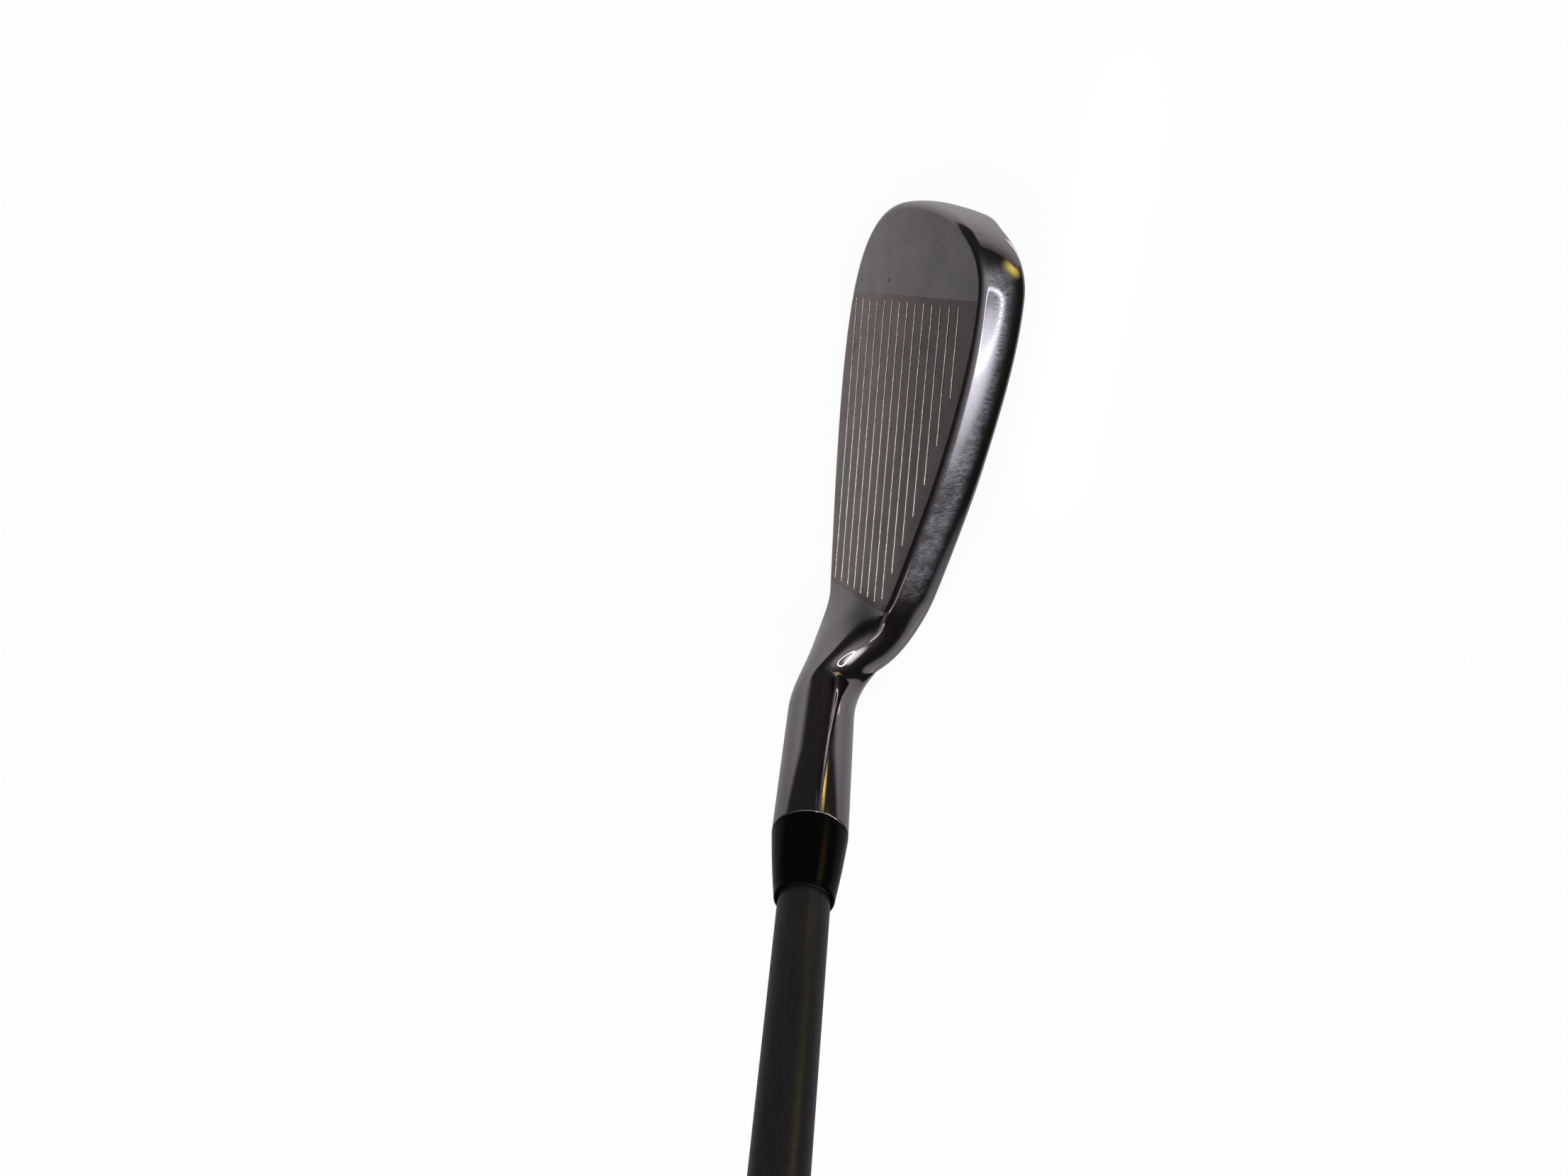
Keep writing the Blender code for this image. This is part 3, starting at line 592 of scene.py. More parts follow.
def hosel_turns(ring_size):
    """Angle round the shaft axis, from the inside over the front, of each point of a ring."""
    spans = (
        (NECK_FACE_TOP_TURN, NECK_FACE_LOW_TURN, FACE_STEPS),
        (NECK_FACE_LOW_TURN, NECK_SOLE_BACK_TURN, BAND_STEPS),
        (NECK_SOLE_BACK_TURN, NECK_TOPLINE_BACK_TURN, ring_size - FACE_STEPS - 2 * BAND_STEPS),
        (NECK_TOPLINE_BACK_TURN, NECK_FACE_TOP_TURN + 2 * math.pi, BAND_STEPS),
    )
    return np.concatenate([np.linspace(start, end, count, endpoint=False) for start, end, count in spans])


def hosel_ring(turns, along, radius):
    round_axis = np.outer(np.cos(turns), INSIDE_IN_FACE) + np.outer(np.sin(turns), FRONT_IN_FACE)
    return FOOT_IN_FACE + AXIS_IN_FACE * along + radius * round_axis


def neck_rings(before, start, end, turns):
    """Rings that carry the blade's last ring round into the hosel's first one."""
    leave = start - before
    leave /= np.linalg.norm(leave, axis=1)[:, None]
    reach = np.linalg.norm(end - start, axis=1)[:, None]
    front = np.maximum(np.sin(turns), 0.0)[:, None]
    crook = (1.0 + np.cos(turns - NECK_TOPLINE_BACK_TURN))[:, None] / 2
    leaving = mix(NECK_START_PULL, NECK_FRONT_START_PULL, front)
    leaving = leaving + NECK_CROOK_PULL * crook ** NECK_CROOK_NARROWING
    start_pull = start + leave * reach * leaving
    end_pull = end - AXIS_IN_FACE * reach * mix(NECK_END_PULL, NECK_FRONT_END_PULL, front)
    shares = np.arange(1, NECK_STEPS) / NECK_STEPS
    return [bezier(start, start_pull, end_pull, end, share) for share in shares]


def polished(rings, turns):
    """Rings with the crook of the neck eased in every direction, as the polishing belt leaves it."""
    grid = np.array(rings)
    steps = np.arange(len(rings)) - BLADE_STEPS
    rise = np.array([smooth((step - NECK_POLISH_START) / NECK_POLISH_RISE) for step in steps])
    fall = np.array([smooth((NECK_STEPS - step) / NECK_POLISH_FADE) for step in steps])
    past_blade = np.array([smooth(step / NECK_POLISH_RISE) for step in steps])
    inside = (1.0 + np.cos(turns - NECK_POLISH_TURN)) / 2
    amount = np.outer(rise * fall, inside ** NECK_POLISH_NARROWING) / 2
    amount[:, :FACE_STEPS + 1] *= past_blade[:, None]
    return eased_grid(grid, amount, NECK_POLISH_PASSES)


def head_rings():
    rings = ground(blade_rings())
    turns = hosel_turns(len(rings[0]))
    first = hosel_ring(turns, NECK_TOP, HOSEL_NECK_RADIUS)
    rings += neck_rings(rings[-2], rings[-1], first, turns)
    rings = polished(rings, turns)
    inside = HOSEL_TOP - BORE_DEPTH
    profile = eased(
        ((HOSEL_NECK_RADIUS, NECK_TOP), (HOSEL_TOP_RADIUS, HOSEL_TOP), (BORE_RADIUS, HOSEL_TOP),
         (BORE_RADIUS, inside), (0.0, inside)),
        (HOSEL_RIM, HOSEL_RIM, HOSEL_RIM))[:-1]
    middle = (profile[0] + profile[1]) / 2
    for radius, along in (profile[0], middle, *profile[1:]):
        rings.append(hosel_ring(turns, along, radius))
    return rings


# Meshes and objects

def add_object(name, data):
    thing = bpy.data.objects.new(name, data)
    bpy.context.scene.collection.objects.link(thing)
    return thing


def as_mesh(name, build):
    """A mesh from a bmesh, which is freed."""
    mesh = bpy.data.meshes.new(name)
    build.to_mesh(mesh)
    build.free()
    return mesh


def mesh_piece(name, build, material):
    """A piece at the origin from a bmesh in the club's frame."""
    bmesh.ops.remove_doubles(build, verts=build.verts, dist=MERGE_DISTANCE)
    bmesh.ops.recalc_face_normals(build, faces=build.faces)
    piece = add_object(name, as_mesh(name, build))
    piece.data.materials.append(material)
    return smooth_shaded(piece)


def smooth_shaded(piece):
    piece.data.shade_smooth()
    piece.data.set_sharp_from_angle(angle=SHARP_ANGLE)
    return piece


def as_plain_mesh(piece):
    """Bakes a piece's modifiers into its mesh and removes them."""
    graph = bpy.context.evaluated_depsgraph_get()
    shown = piece.evaluated_get(graph)
    mesh = bpy.data.meshes.new_from_object(shown, preserve_all_data_layers=True, depsgraph=graph)
    piece.modifiers.clear()
    piece.data = mesh
    return piece


def finish_piece(piece, slot, *nodes):
    """Lets a finished piece ride on the club and stand for its CAD nodes."""
    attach(piece, "root")
    if nodes:
        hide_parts(*nodes)


def loft(rings, matrix, closed_end=False):
    """A bmesh skin over closed rings of points, moved into place by a matrix."""
    build = bmesh.new()
    rows = [[build.verts.new(matrix @ Vector(point)) for point in ring] for ring in rings]
    for first, second in zip(rows, rows[1:]):
        for i in range(len(first)):
            build.faces.new((first[i - 1], first[i], second[i], second[i - 1]))
    if closed_end:
        build.faces.new(rows[-1])
    return build


def circle(radius, along=0.0, sides=TURNED_SIDES):
    turns = np.arange(sides) * 2 * math.pi / sides
    return np.column_stack((radius * np.cos(turns), radius * np.sin(turns), np.full(sides, along)))


def turned(name, profile, material):
    """A closed profile of (radius, along) points, spun round the shaft axis."""
    rings = [circle(radius, along) for radius, along in (*profile, profile[0])]
    return mesh_piece(name, loft(rings, SHAFT_FRAME), material)


# Node trees

def opaque(colour):
    """A colour with full alpha; a socket stays as it is."""
    return colour if isinstance(colour, bpy.types.NodeSocket) else (*colour, 1.0)


class Nodes:
    """Short words for building a node tree."""

    def __init__(self, tree):
        self.tree = tree

    def put(self, socket, value):
        """Gives an input a value, or a link from another node."""
        if isinstance(value, bpy.types.NodeSocket):
            self.tree.links.new(value, socket)
        else:
            socket.default_value = value

    def add(self, kind, inputs=None, **options):
        """A new node with its options and inputs set."""
        node = self.tree.nodes.new(kind)
        for name, value in options.items():
            setattr(node, name, value)
        for key, value in (inputs or {}).items():
            self.put(node.inputs[key], value)
        return node

    def out(self, kind, inputs=None, **options):
        """The first output of a new node."""
        return self.add(kind, inputs, **options).outputs[0]

    def calc(self, operation, *values):
        return self.out("ShaderNodeMath", dict(enumerate(values)), operation=operation)

    def times(self, product, *values):
        for value in values:
            product = self.calc("MULTIPLY", product, value)
        return product

    def plus(self, total, *values):
        for value in values:
            total = self.calc("ADD", total, value)
        return total

    def span(self, value, low, high, start=0.0, end=1.0):
        """A smooth step from one number to another as a value crosses a range."""
        inputs = {"Value": value, "From Min": low, "From Max": high, "To Min": start, "To Max": end}
        return self.out("ShaderNodeMapRange", inputs, interpolation_type="SMOOTHSTEP")

    def between(self, share, first, second):
        """A number between two others."""
        return self.out("ShaderNodeMix", {0: share, 2: first, 3: second})

    def blend(self, share, first, second):
        """A colour between two others."""
        inputs = {0: share, 6: opaque(first), 7: opaque(second)}
        return self.add("ShaderNodeMix", inputs, data_type="RGBA").outputs[2]

    def vector(self, x=0.0, y=0.0, z=0.0):
        return self.out("ShaderNodeCombineXYZ", {0: x, 1: y, 2: z})

    def axes(self, vector):
        return self.add("ShaderNodeSeparateXYZ", {0: vector}).outputs

    def object_place(self):
        return self.add("ShaderNodeTexCoord").outputs["Object"]

    def mixed(self, share, first, second):
        """A shader between two others."""
        return self.out("ShaderNodeMixShader", {0: share, 1: first, 2: second})

    def show(self, surface, output="Material Output"):
        """Ends a material's or the world's tree."""
        self.put(self.tree.nodes[output].inputs["Surface"], surface)


class Finish(Nodes):
    """A new material whose patterns lie in one frame of the club."""

    def __init__(self, name, matrix, roughness=0.5, metallic=0.0):
        self.material = bpy.data.materials.new(name)
        self.material.use_nodes = True
        super().__init__(self.material.node_tree)
        self.give({"Roughness": roughness, "Metallic": metallic})
        inputs = {
            "Vector": self.object_place(), "Location": matrix.translation, "Rotation": matrix.to_euler()}
        self.place = self.out("ShaderNodeMapping", inputs, vector_type="TEXTURE")

    def give(self, inputs):
        """Sets inputs of the material's shader."""
        for name, value in inputs.items():
            self.put(self.tree.nodes["Principled BSDF"].inputs[name], value)

    def stretched(self, stretch):
        """The place that a pattern follows, scaled along each axis where a stretch is given."""
        if stretch is None:
            return self.place
        return self.out("ShaderNodeMapping", {"Vector": self.place, "Scale": stretch})

    def grain(self, scale, detail=3.0, stretch=None):
        """Noise, with its scale in patches to the metre."""
        inputs = {"Vector": self.stretched(stretch), "Scale": scale, "Detail": detail}
        return self.out("ShaderNodeTexNoise", inputs)

    def spread(self, noise, least, most, low=0.3, high=0.7):
        """Noise, which mostly lies between low and high, spread from one number to another."""
        return self.span(noise, low, high, least, most)

    def specks(self, scale, size, rarity, stretch=None):
        """One on small round specks in a few cells of a scatter, nought elsewhere."""
        cells = self.add("ShaderNodeTexVoronoi", {"Vector": self.stretched(stretch), "Scale": scale})
        chosen = self.out("ShaderNodeSeparateColor", {"Color": cells.outputs["Color"]})
        near = self.span(cells.outputs["Distance"], size, size * SPECK_CORE)
        return self.times(near, self.calc("GREATER_THAN", chosen, rarity))

    def scaled(self, colour, tone):
        return self.out("ShaderNodeVectorMath", {0: colour, 3: tone}, operation="SCALE")

    def relief(self, height, depth):
        """Fine bumps of a depth in metres."""
        inputs = {"Height": height, "Distance": depth, "Strength": 1.0}
        self.give({"Normal": self.out("ShaderNodeBump", inputs)})


# Finishes

def topline_haze(steel, x, y, z):
    """How far handling has dulled the crown of the topline, in smears and fine strokes."""
    topline = steel.calc("MULTIPLY_ADD", x, HAZE_SLOPE, HAZE_HEIGHT)
    over_topline = steel.span(steel.calc("SUBTRACT", y, topline), *HAZE_LOW_EDGE)
    on_crown = steel.times(steel.span(z, *HAZE_FRONT_EDGE), steel.span(z, *HAZE_BACK_EDGE))
    smears = steel.spread(steel.grain(300.0, 9.0), 0.50, 1.0, 0.20, 0.80)
    strokes = steel.spread(steel.grain(3200.0, 9.0, (1.0, 0.32, 0.32)), 0.45, 1.0)
    return steel.times(over_topline, steel.span(x, *HAZE_HEEL_EDGE), on_crown, smears, strokes)


def face_colour(steel, look, y, zone, mottle, blast):
    """Satin and blasted steel, darker where it is stained, with painted shade higher up the face and at
    the heel next to the neck.
    """
    # Painted shade round a spot at the heel, next to the neck
    reach = steel.add("ShaderNodeVectorMath", {0: steel.place, 1: HEEL_SHADE_PLACE}, operation="DISTANCE")
    heel_shade = steel.span(reach.outputs["Value"], HEEL_SHADE_RADIUS, 0.0)
    # Painted shade: darker higher up the face, towards the topline, more so in the blasted zone
    face_shade_tone = steel.between(zone, FACE_SHADE_SATIN_TONE, FACE_SHADE_ZONE_TONE)
    tone = steel.times(
        steel.spread(mottle, 0.92, 1.08), steel.spread(blast, 0.84, 1.16),
        steel.span(heel_shade, 0.0, 1.0, 1.0, HEEL_SHADE_TONE),
        steel.span(y, *FACE_SHADE_HEIGHTS, FACE_SHADE_LOW_TONE, face_shade_tone))
    small_stains = steel.specks(scale=950.0, size=0.20, rarity=0.90)
    large_stains = steel.specks(scale=300.0, size=0.17, rarity=0.93)
    stains = steel.times(steel.calc("MAXIMUM", small_stains, large_stains), STAIN_SHARE)
    clean = steel.blend(zone, look.satin, look.blasted)
    return steel.scaled(steel.blend(stains, clean, STAIN), tone)


def head_steel(look):
    """Polished band, neck and hosel, satin toe and heel, blasted zone between the score lines."""
    steel = Finish("club_steel", FACE_FRAME, metallic=1.0)
    x, y, z = steel.axes(steel.place)
    satin = steel.times(steel.span(z, *FACE_EDGE), steel.span(x, *SATIN_HEEL_EDGE))
    across = steel.calc("ABSOLUTE", x)
    zone = steel.times(satin, steel.span(across, LINE_ZONE / 2 + ZONE_BLUR, LINE_ZONE / 2 - ZONE_BLUR))
    haze = topline_haze(steel, x, y, z)
    mottle = steel.grain(170.0, 5.0)
    blast = steel.grain(3000.0)
    pits = steel.times(steel.specks(scale=700.0, size=0.13, rarity=0.93), PIT_SHARE)
    band = steel.blend(pits, steel.blend(haze, look.polished, look.hazed), PIT_DIRT)
    polish = steel.spread(mottle, *POLISH_ROUGHNESS, 0.35, 0.75)
    band_roughness = steel.between(haze, polish, HAZE_ROUGHNESS)
    face_roughness = steel.between(zone, SATIN_ROUGHNESS, BLAST_ROUGHNESS)
    steel.give({
        "Base Color": steel.blend(satin, band, face_colour(steel, look, y, zone, mottle, blast)),
        "Roughness": steel.between(satin, band_roughness, face_roughness),
        "Metallic": steel.span(haze, 0.0, 1.0, 1.0, HAZE_METAL),
    })
    face_relief = steel.times(blast, steel.between(zone, SATIN_RELIEF, 1.0))
    polish_waves = steel.times(steel.grain(700.0), POLISH_RELIEF)
    steel.relief(steel.between(satin, polish_waves, face_relief), 0.000012)
    return steel.material


def line_steel(look):
    """Worn edges of the score lines, painted near-white as a glint. Dirt and painted shade fill them
    deeper towards the toe, and the edges are dimmer there.
    """
    steel = Finish("score_line_steel", FACE_FRAME, metallic=1.0)
    x, _, z = steel.axes(steel.place)
    towards_heel = steel.span(x, -LINE_ZONE / 2, LINE_ZONE / 2)
    raggedness = steel.span(towards_heel, 0.0, 1.0, *LINE_RAGGEDNESS)
    ragged = steel.times(steel.spread(steel.grain(1300.0, 5.0), -1.0, 1.0), raggedness)
    bare_depth = steel.span(towards_heel, 0.0, 1.0, *LINE_BARE_DEPTH)
    # Darker deeper in the lines: dirt and painted shade, below the bright bare edge
    bare = steel.span(steel.plus(z, bare_depth, ragged), -LINE_DIRT_AND_SHADE_BLUR, LINE_DIRT_AND_SHADE_BLUR)
    # Painted glint: the bare edges near-white, dimmer towards the toe
    worn = steel.blend(towards_heel, TOE_LINE_STEEL, look.bright)
    steel.give({
        "Base Color": steel.blend(bare, look.dirt_and_shade, worn),
        "Roughness": steel.spread(steel.grain(2400.0), 0.28, 0.5),
    })
    steel.relief(steel.grain(3600.0), 0.00002)
    return steel.material


def ferrule_black(look):
    """Black plastic, buffed round the shaft, with a little dust."""
    plastic = Finish("ferrule_black", SHAFT_FRAME)
    dust = plastic.times(plastic.specks(scale=1500.0, size=0.10, rarity=0.96), DUST_SHARE)
    buffing = plastic.grain(500.0, 4.0, (1.0, 1.0, 6.0))
    plastic.give({
        "Base Color": plastic.blend(dust, look.ferrule, DUST),
        "Roughness": plastic.spread(buffing, 0.10, 0.22, 0.3, 0.75),
        "Specular IOR Level": FERRULE_GLOSS,
    })
    plastic.relief(buffing, 0.000004)
    return plastic.material


def shaft_carbon(look):
    """Dark fibre under a worn clear coat, with fine metallic flecks and a few scuffs along it."""
    coat = Finish("shaft_carbon", SHAFT_FRAME)
    cloud = coat.spread(coat.grain(260.0, 4.0, (1.0, 1.0, 0.35)), 0.0, 1.0)
    flecks = coat.times(coat.specks(scale=3600.0, size=0.30, rarity=0.93), FLECK_SHARE)
    scuffs = coat.specks(scale=900.0, size=0.09, rarity=0.97, stretch=(1.0, 1.0, 0.09))
    flecked = coat.blend(flecks, coat.blend(cloud, look.carbon, CARBON_CLOUD), look.fleck)
    coat.give({
        "Base Color": coat.blend(coat.times(scuffs, SCUFF_SHARE), flecked, SCUFF),
        "Roughness": coat.spread(coat.grain(1400.0), 0.28, 0.40),
    })
    coat.relief(coat.grain(2600.0), 0.000010)
    return coat.material


def rubber(name, colour):
    """Matt rubber with a fine moulded grain and pale wear."""
    skin = Finish(name, SHAFT_FRAME)
    wear = skin.spread(skin.grain(90.0, 5.0), 0.0, 0.6, 0.45, 0.75)
    skin.give({
        "Base Color": skin.blend(wear, colour, RUBBER_WEAR),
        "Roughness": skin.spread(skin.grain(300.0, 4.0), 0.58, 0.80),
    })
    skin.relief(skin.grain(3800.0), 0.00003)
    return skin.material


def brushed_plate(name, colour, roughness):
    """Brushed metal with its strokes along the score lines."""
    plate = Finish(name, FACE_FRAME, metallic=1.0)
    strokes = plate.grain(900.0, 4.0, (0.05, 3.0, 1.0))
    plate.give({
        "Base Color": plate.scaled(colour, plate.spread(strokes, 0.75, 1.25)),
        "Roughness": plate.spread(strokes, roughness * 0.8, roughness * 1.3, 0.25, 0.75),
    })
    plate.relief(strokes, 0.000008)
    return plate.material


def plain_grain(name, colour, other, scale, roughness, metallic=0.0):
    """A mottled finish for pieces that are out of sight in use."""
    coat = Finish(name, SHAFT_FRAME, roughness, metallic)
    share = coat.spread(coat.grain(scale, 4.0), 0.0, 1.0, 0.35, 0.65)
    coat.give({"Base Color": coat.blend(share, colour, other)})
    coat.relief(coat.grain(scale * 4.0), 0.00002)
    return coat.material


# Geometry Nodes

SOCKET_KINDS = {
    float: "NodeSocketFloat", int: "NodeSocketInt", bpy.types.Material: "NodeSocketMaterial"}


class Pattern(Nodes):
    """A geometry tree with named inputs and their values, which sets copies of a shape on points."""

    def __init__(self, name, **values):
        super().__init__(bpy.data.node_groups.new(name, "GeometryNodeTree"))
        sockets = self.tree.interface
        for way in ("INPUT", "OUTPUT"):
            sockets.new_socket("Geometry", in_out=way, socket_type="NodeSocketGeometry")
        self.values = {}
        for label, value in values.items():
            socket = sockets.new_socket(label, in_out="INPUT", socket_type=SOCKET_KINDS[type(value)])
            self.values[socket.identifier] = value
        self.given = self.tree.nodes.new("NodeGroupInput").outputs

    def carried(self, label, kind="FLOAT"):
        """A number or vector that each point carries."""
        return self.out("GeometryNodeInputNamedAttribute", {"Name": label}, data_type=kind)

    def moved(self, geometry, offset):
        return self.out("GeometryNodeSetPosition", {"Geometry": geometry, "Offset": offset})

    def tapered(self, bar, axis, share):
        """A bar whose lower side is narrower by a share, along one axis."""
        place = self.axes(self.out("GeometryNodeInputPosition"))
        inward = self.times(place[axis], self.calc("LESS_THAN", place[2], 0.0), -share)
        return self.moved(bar, self.out("ShaderNodeCombineXYZ", {axis: inward}))

    def copies(self, shape, **turns):
        inputs = {"Points": self.given["Geometry"], "Instance": shape, **turns}
        return self.out("GeometryNodeInstanceOnPoints", inputs)

    def real(self, copies):
        return self.out("GeometryNodeRealizeInstances", {0: copies})

    def grow(self, name, points, copies):
        """Ends the tree with real copies in their material, and runs it on a mesh of points."""
        inputs = {"Geometry": self.real(copies), "Material": self.given["Material"]}
        self.add("NodeGroupOutput", {0: self.out("GeometryNodeSetMaterial", inputs)})
        piece = add_object(name, points)
        modifier = piece.modifiers.new(name, "NODES")
        modifier.node_group = self.tree
        for identifier, value in self.values.items():
            modifier[identifier] = value
        return as_plain_mesh(piece)


def point_mesh(name, points, **attributes):
    """A mesh of loose points that carry named numbers or vectors."""
    mesh = bpy.data.meshes.new(name)
    mesh.from_pydata([tuple(point) for point in points], [], [])
    for label, values in attributes.items():
        values = np.asarray(values, dtype=np.float32)
        kind, field = ("FLOAT_VECTOR", "vector") if values.ndim > 1 else ("FLOAT", "value")
        mesh.attributes.new(label, kind, "POINT").data.foreach_set(field, values.ravel())
    return mesh


# Pieces of the head

def line_points(count):
    """Middles of the score lines, each with its run, held back from the zone's ends and the topline."""
    tops, _ = upper_outline(CURVE_SAMPLES)
    topline = tops[np.argmax(tops[:, 1]):]
    zone_end = LINE_ZONE / 2 - LINE_END_GAP
    middles = []
    runs = []
    for number in range(count):
        height = number * LINE_PITCH
        below_topline = np.interp(-height - LINE_TOP_GAP, -topline[:, 1], topline[:, 0])
        heel_end = min(zone_end, below_topline)
        if heel_end + zone_end < LINE_PITCH:
            continue
        middles.append(((heel_end - zone_end) / 2, height, 0.0))
        runs.append(heel_end + zone_end)
    return point_mesh("score_line_points", middles, run=runs)


def score_line_cutter(look):
    """Tapered bars with worn edges, one for each score line."""
    lines = Pattern(
        "score_lines", Width=look.line_width, Depth=look.line_depth, Wear=look.line_wear, Steps=LINE_STEPS,
        Material=line_steel(look))
    size = lines.vector(1.0, lines.given["Width"], lines.times(lines.given["Depth"], 2.0))
    bar = lines.out("GeometryNodeMeshCube", {"Size": size, "Vertices X": lines.given["Steps"]})
    scale = lines.vector(lines.carried("run"), 1.0, 1.0)
    bars = lines.real(lines.copies(lines.tapered(bar, 1, LINE_TAPER), Scale=scale))
    wander = lines.out("ShaderNodeTexNoise", {"Scale": 1500.0, "Detail": 4.0})
    shift = lines.times(lines.calc("SUBTRACT", wander, 0.5), lines.given["Wear"])
    worn = lines.moved(bars, lines.vector(y=shift))
    cutter = lines.grow("score_line_cutter", line_points(look.line_count), worn)
    cutter.matrix_world = FACE_FRAME
    return cutter


def cut_score_lines(head, look):
    cutter = score_line_cutter(look)
    cut = head.modifiers.new("score_lines", "BOOLEAN")
    cut.operation = "DIFFERENCE"
    cut.solver = "EXACT"
    cut.material_mode = "TRANSFER"
    cut.object = cutter
    bpy.context.view_layer.update()
    as_plain_mesh(head)
    bpy.data.objects.remove(cutter, do_unlink=True)
    smooth_shaded(head)


def cavity_outline(margin):
    """Upper and lower outline of the cavity floor, drawn in by a margin on every side."""
    tops, _ = upper_outline(BLADE_STEPS + 1)
    lows, _ = lower_outline(BLADE_STEPS + 1)
    middles = (tops[:, 0] + lows[:, 0]) / 2
    end_room = CAVITY_END_SLOPE / 2 + margin
    columns = np.linspace(CAVITY_TOE_X + end_room, CAVITY_HEEL_X - end_room, BADGE_COLUMNS)
    tops = columns_at(columns, middles, tops)
    lows = columns_at(columns, middles, lows)
    lengths = np.linalg.norm(lows - tops, axis=1)[:, None]
    down = (lows - tops) / lengths
    above = tops + down * (LIP_HEIGHT + WALL_DRAFT + margin)
    below = tops + down * (lengths - FLANGE_HEIGHT - 2 * WALL_DRAFT - margin)
    return above, below


def badge_outline():
    """Closed outline of the badge with its four corners eased."""
    above, below = cavity_outline(BADGE_MARGIN)
    loop = np.vstack((above, below[::-1]))
    middle = (loop[0] + loop[-1]) / 2
    reaches = np.full(len(loop), MERGE_DISTANCE)
    for corner in (0, len(above) - 1, len(above), len(loop) - 1):
        reaches[corner] = BADGE_CORNER
    return eased(np.vstack((middle, loop, middle)), reaches)[:-1]


def badge_plate(name, material):
    """The badge: a thin plate whose edges are bevelled."""
    outline = badge_outline()
    inward = outline.mean(axis=0) - outline
    inward /= np.linalg.norm(inward, axis=1)[:, None]
    back = BADGE_FRONT + BADGE_THICKNESS
    rings = []
    for inset, depth in (
        (BADGE_BEVEL, BADGE_FRONT), (0.0, BADGE_FRONT + BADGE_BEVEL),
        (0.0, back - BADGE_BEVEL), (BADGE_BEVEL, back),
    ):
        rings.append(np.column_stack((outline + inward * inset, np.full(len(outline), -depth))))
    build = loft(rings, FACE_FRAME, closed_end=True)
    build.verts.ensure_lookup_table()
    build.faces.new(build.verts[:len(outline)][::-1])
    return mesh_piece(name, build, material)


def rib_points(look):
    """Middles of the badge's ribs, each with its run."""
    above, below = cavity_outline(BADGE_MARGIN + look.rib_width)
    middles = []
    runs = []
    for number in range(look.rib_count):
        x = RIB_FIRST_X + number * look.rib_pitch
        top = np.interp(x, above[:, 0], above[:, 1])
        low = np.interp(x, below[:, 0], below[:, 1])
        middles.append((x, (top + low) / 2, -BADGE_FRONT - BADGE_THICKNESS))
        runs.append((top - low) * RIB_SHARE)
    return point_mesh("badge_rib_points", middles, run=runs)


def badge_ribs(name, look, material):
    """Slim ribs with sloping sides across the badge."""
    ribs = Pattern("badge_ribs", Width=look.rib_width, Height=look.rib_height * 2, Material=material)
    bar = ribs.out("GeometryNodeMeshCube", {"Size": (1.0, 1.0, 1.0)})
    scale = ribs.vector(ribs.given["Width"], ribs.carried("run"), ribs.given["Height"])
    bars = ribs.copies(ribs.tapered(bar, 0, RIB_TAPER), Scale=scale)
    piece = ribs.grow(name, rib_points(look), bars)
    piece.data.transform(FACE_FRAME)
    return piece


# Pieces on the shaft axis

def shaft_profile():
    """Parallel tip and tapered length of the shaft, outside and inside."""
    start, end = node_span("shaft")
    taper_start = HOSEL_TOP - BORE_DEPTH + SHAFT_TIP_PARALLEL
    outside = [(SHAFT_TIP_RADIUS, start)]
    for share in np.linspace(0.0, 1.0, TAPER_STEPS):
        outside.append((mix(SHAFT_TIP_RADIUS, SHAFT_BUTT_RADIUS, share), mix(taper_start, end, share)))
    inside = [(radius - SHAFT_WALL, along) for radius, along in outside]
    return outside + inside[::-1]


def ferrule_profile():
    """Bore, swollen taper and rounded top of the ferrule."""
    start, end = node_span("ferrule")
    shoulder = end - FERRULE_TOP_EASE
    side = []
    for share in np.linspace(0.0, 1.0, TAPER_STEPS // 3):
        taper = mix(HOSEL_TOP_RADIUS, FERRULE_TOP_RADIUS, share)
        side.append((taper + FERRULE_BULGE * math.sin(math.pi * share), mix(start, shoulder, share)))
    crown = []
    for turn in np.linspace(0.0, math.pi / 2, ARC_STEPS)[1:]:
        inward = (FERRULE_TOP_RADIUS - BORE_RADIUS) * (1 - math.cos(turn))
        crown.append((FERRULE_TOP_RADIUS - inward, shoulder + FERRULE_TOP_EASE * math.sin(turn)))
    return [(BORE_RADIUS, start), *side, *crown]


def grip_radius(share):
    return mix(GRIP_MOUTH_RADIUS, GRIP_BUTT_RADIUS - GRIP_BEAD_STEP, share ** GRIP_SWELL)


def grip_profile():
    """Outside of the grip with two turned rings and its bead, and the core inside."""
    mouth, end = node_span("grip_sleeve")
    bead = end - GRIP_BEAD
    half = GRIP_RING_WIDTH / (bead - mouth) / 2
    stations = [(share, 0.0) for share in np.linspace(0.0, 1.0, TAPER_STEPS)]
    for place in GRIP_RING_PLACES:
        stations += [(place - half, 0.0), (place, GRIP_RING_DEPTH), (place + half, 0.0)]
    stations.sort()
    outside = [(grip_radius(share) - depth, mix(mouth, bead, share)) for share, depth in stations]
    outside += [(GRIP_BUTT_RADIUS, bead + GRIP_BEAD / 3), (GRIP_BUTT_RADIUS, end)]
    core = [(GRIP_CORE_RADIUS, end), (GRIP_CORE_MOUTH_RADIUS, mouth)]
    lip = ((GRIP_MOUTH_RADIUS + GRIP_CORE_MOUTH_RADIUS) / 2, mouth)
    reaches = [GRIP_MOUTH_EASE] + [GRIP_RING_DEPTH] * (len(outside) - 3)
    reaches += [GRIP_BEAD / 3] * 2 + [RIM_EASE / 3] * 3
    return eased([lip, *outside, *core, lip], reaches)[:-1]


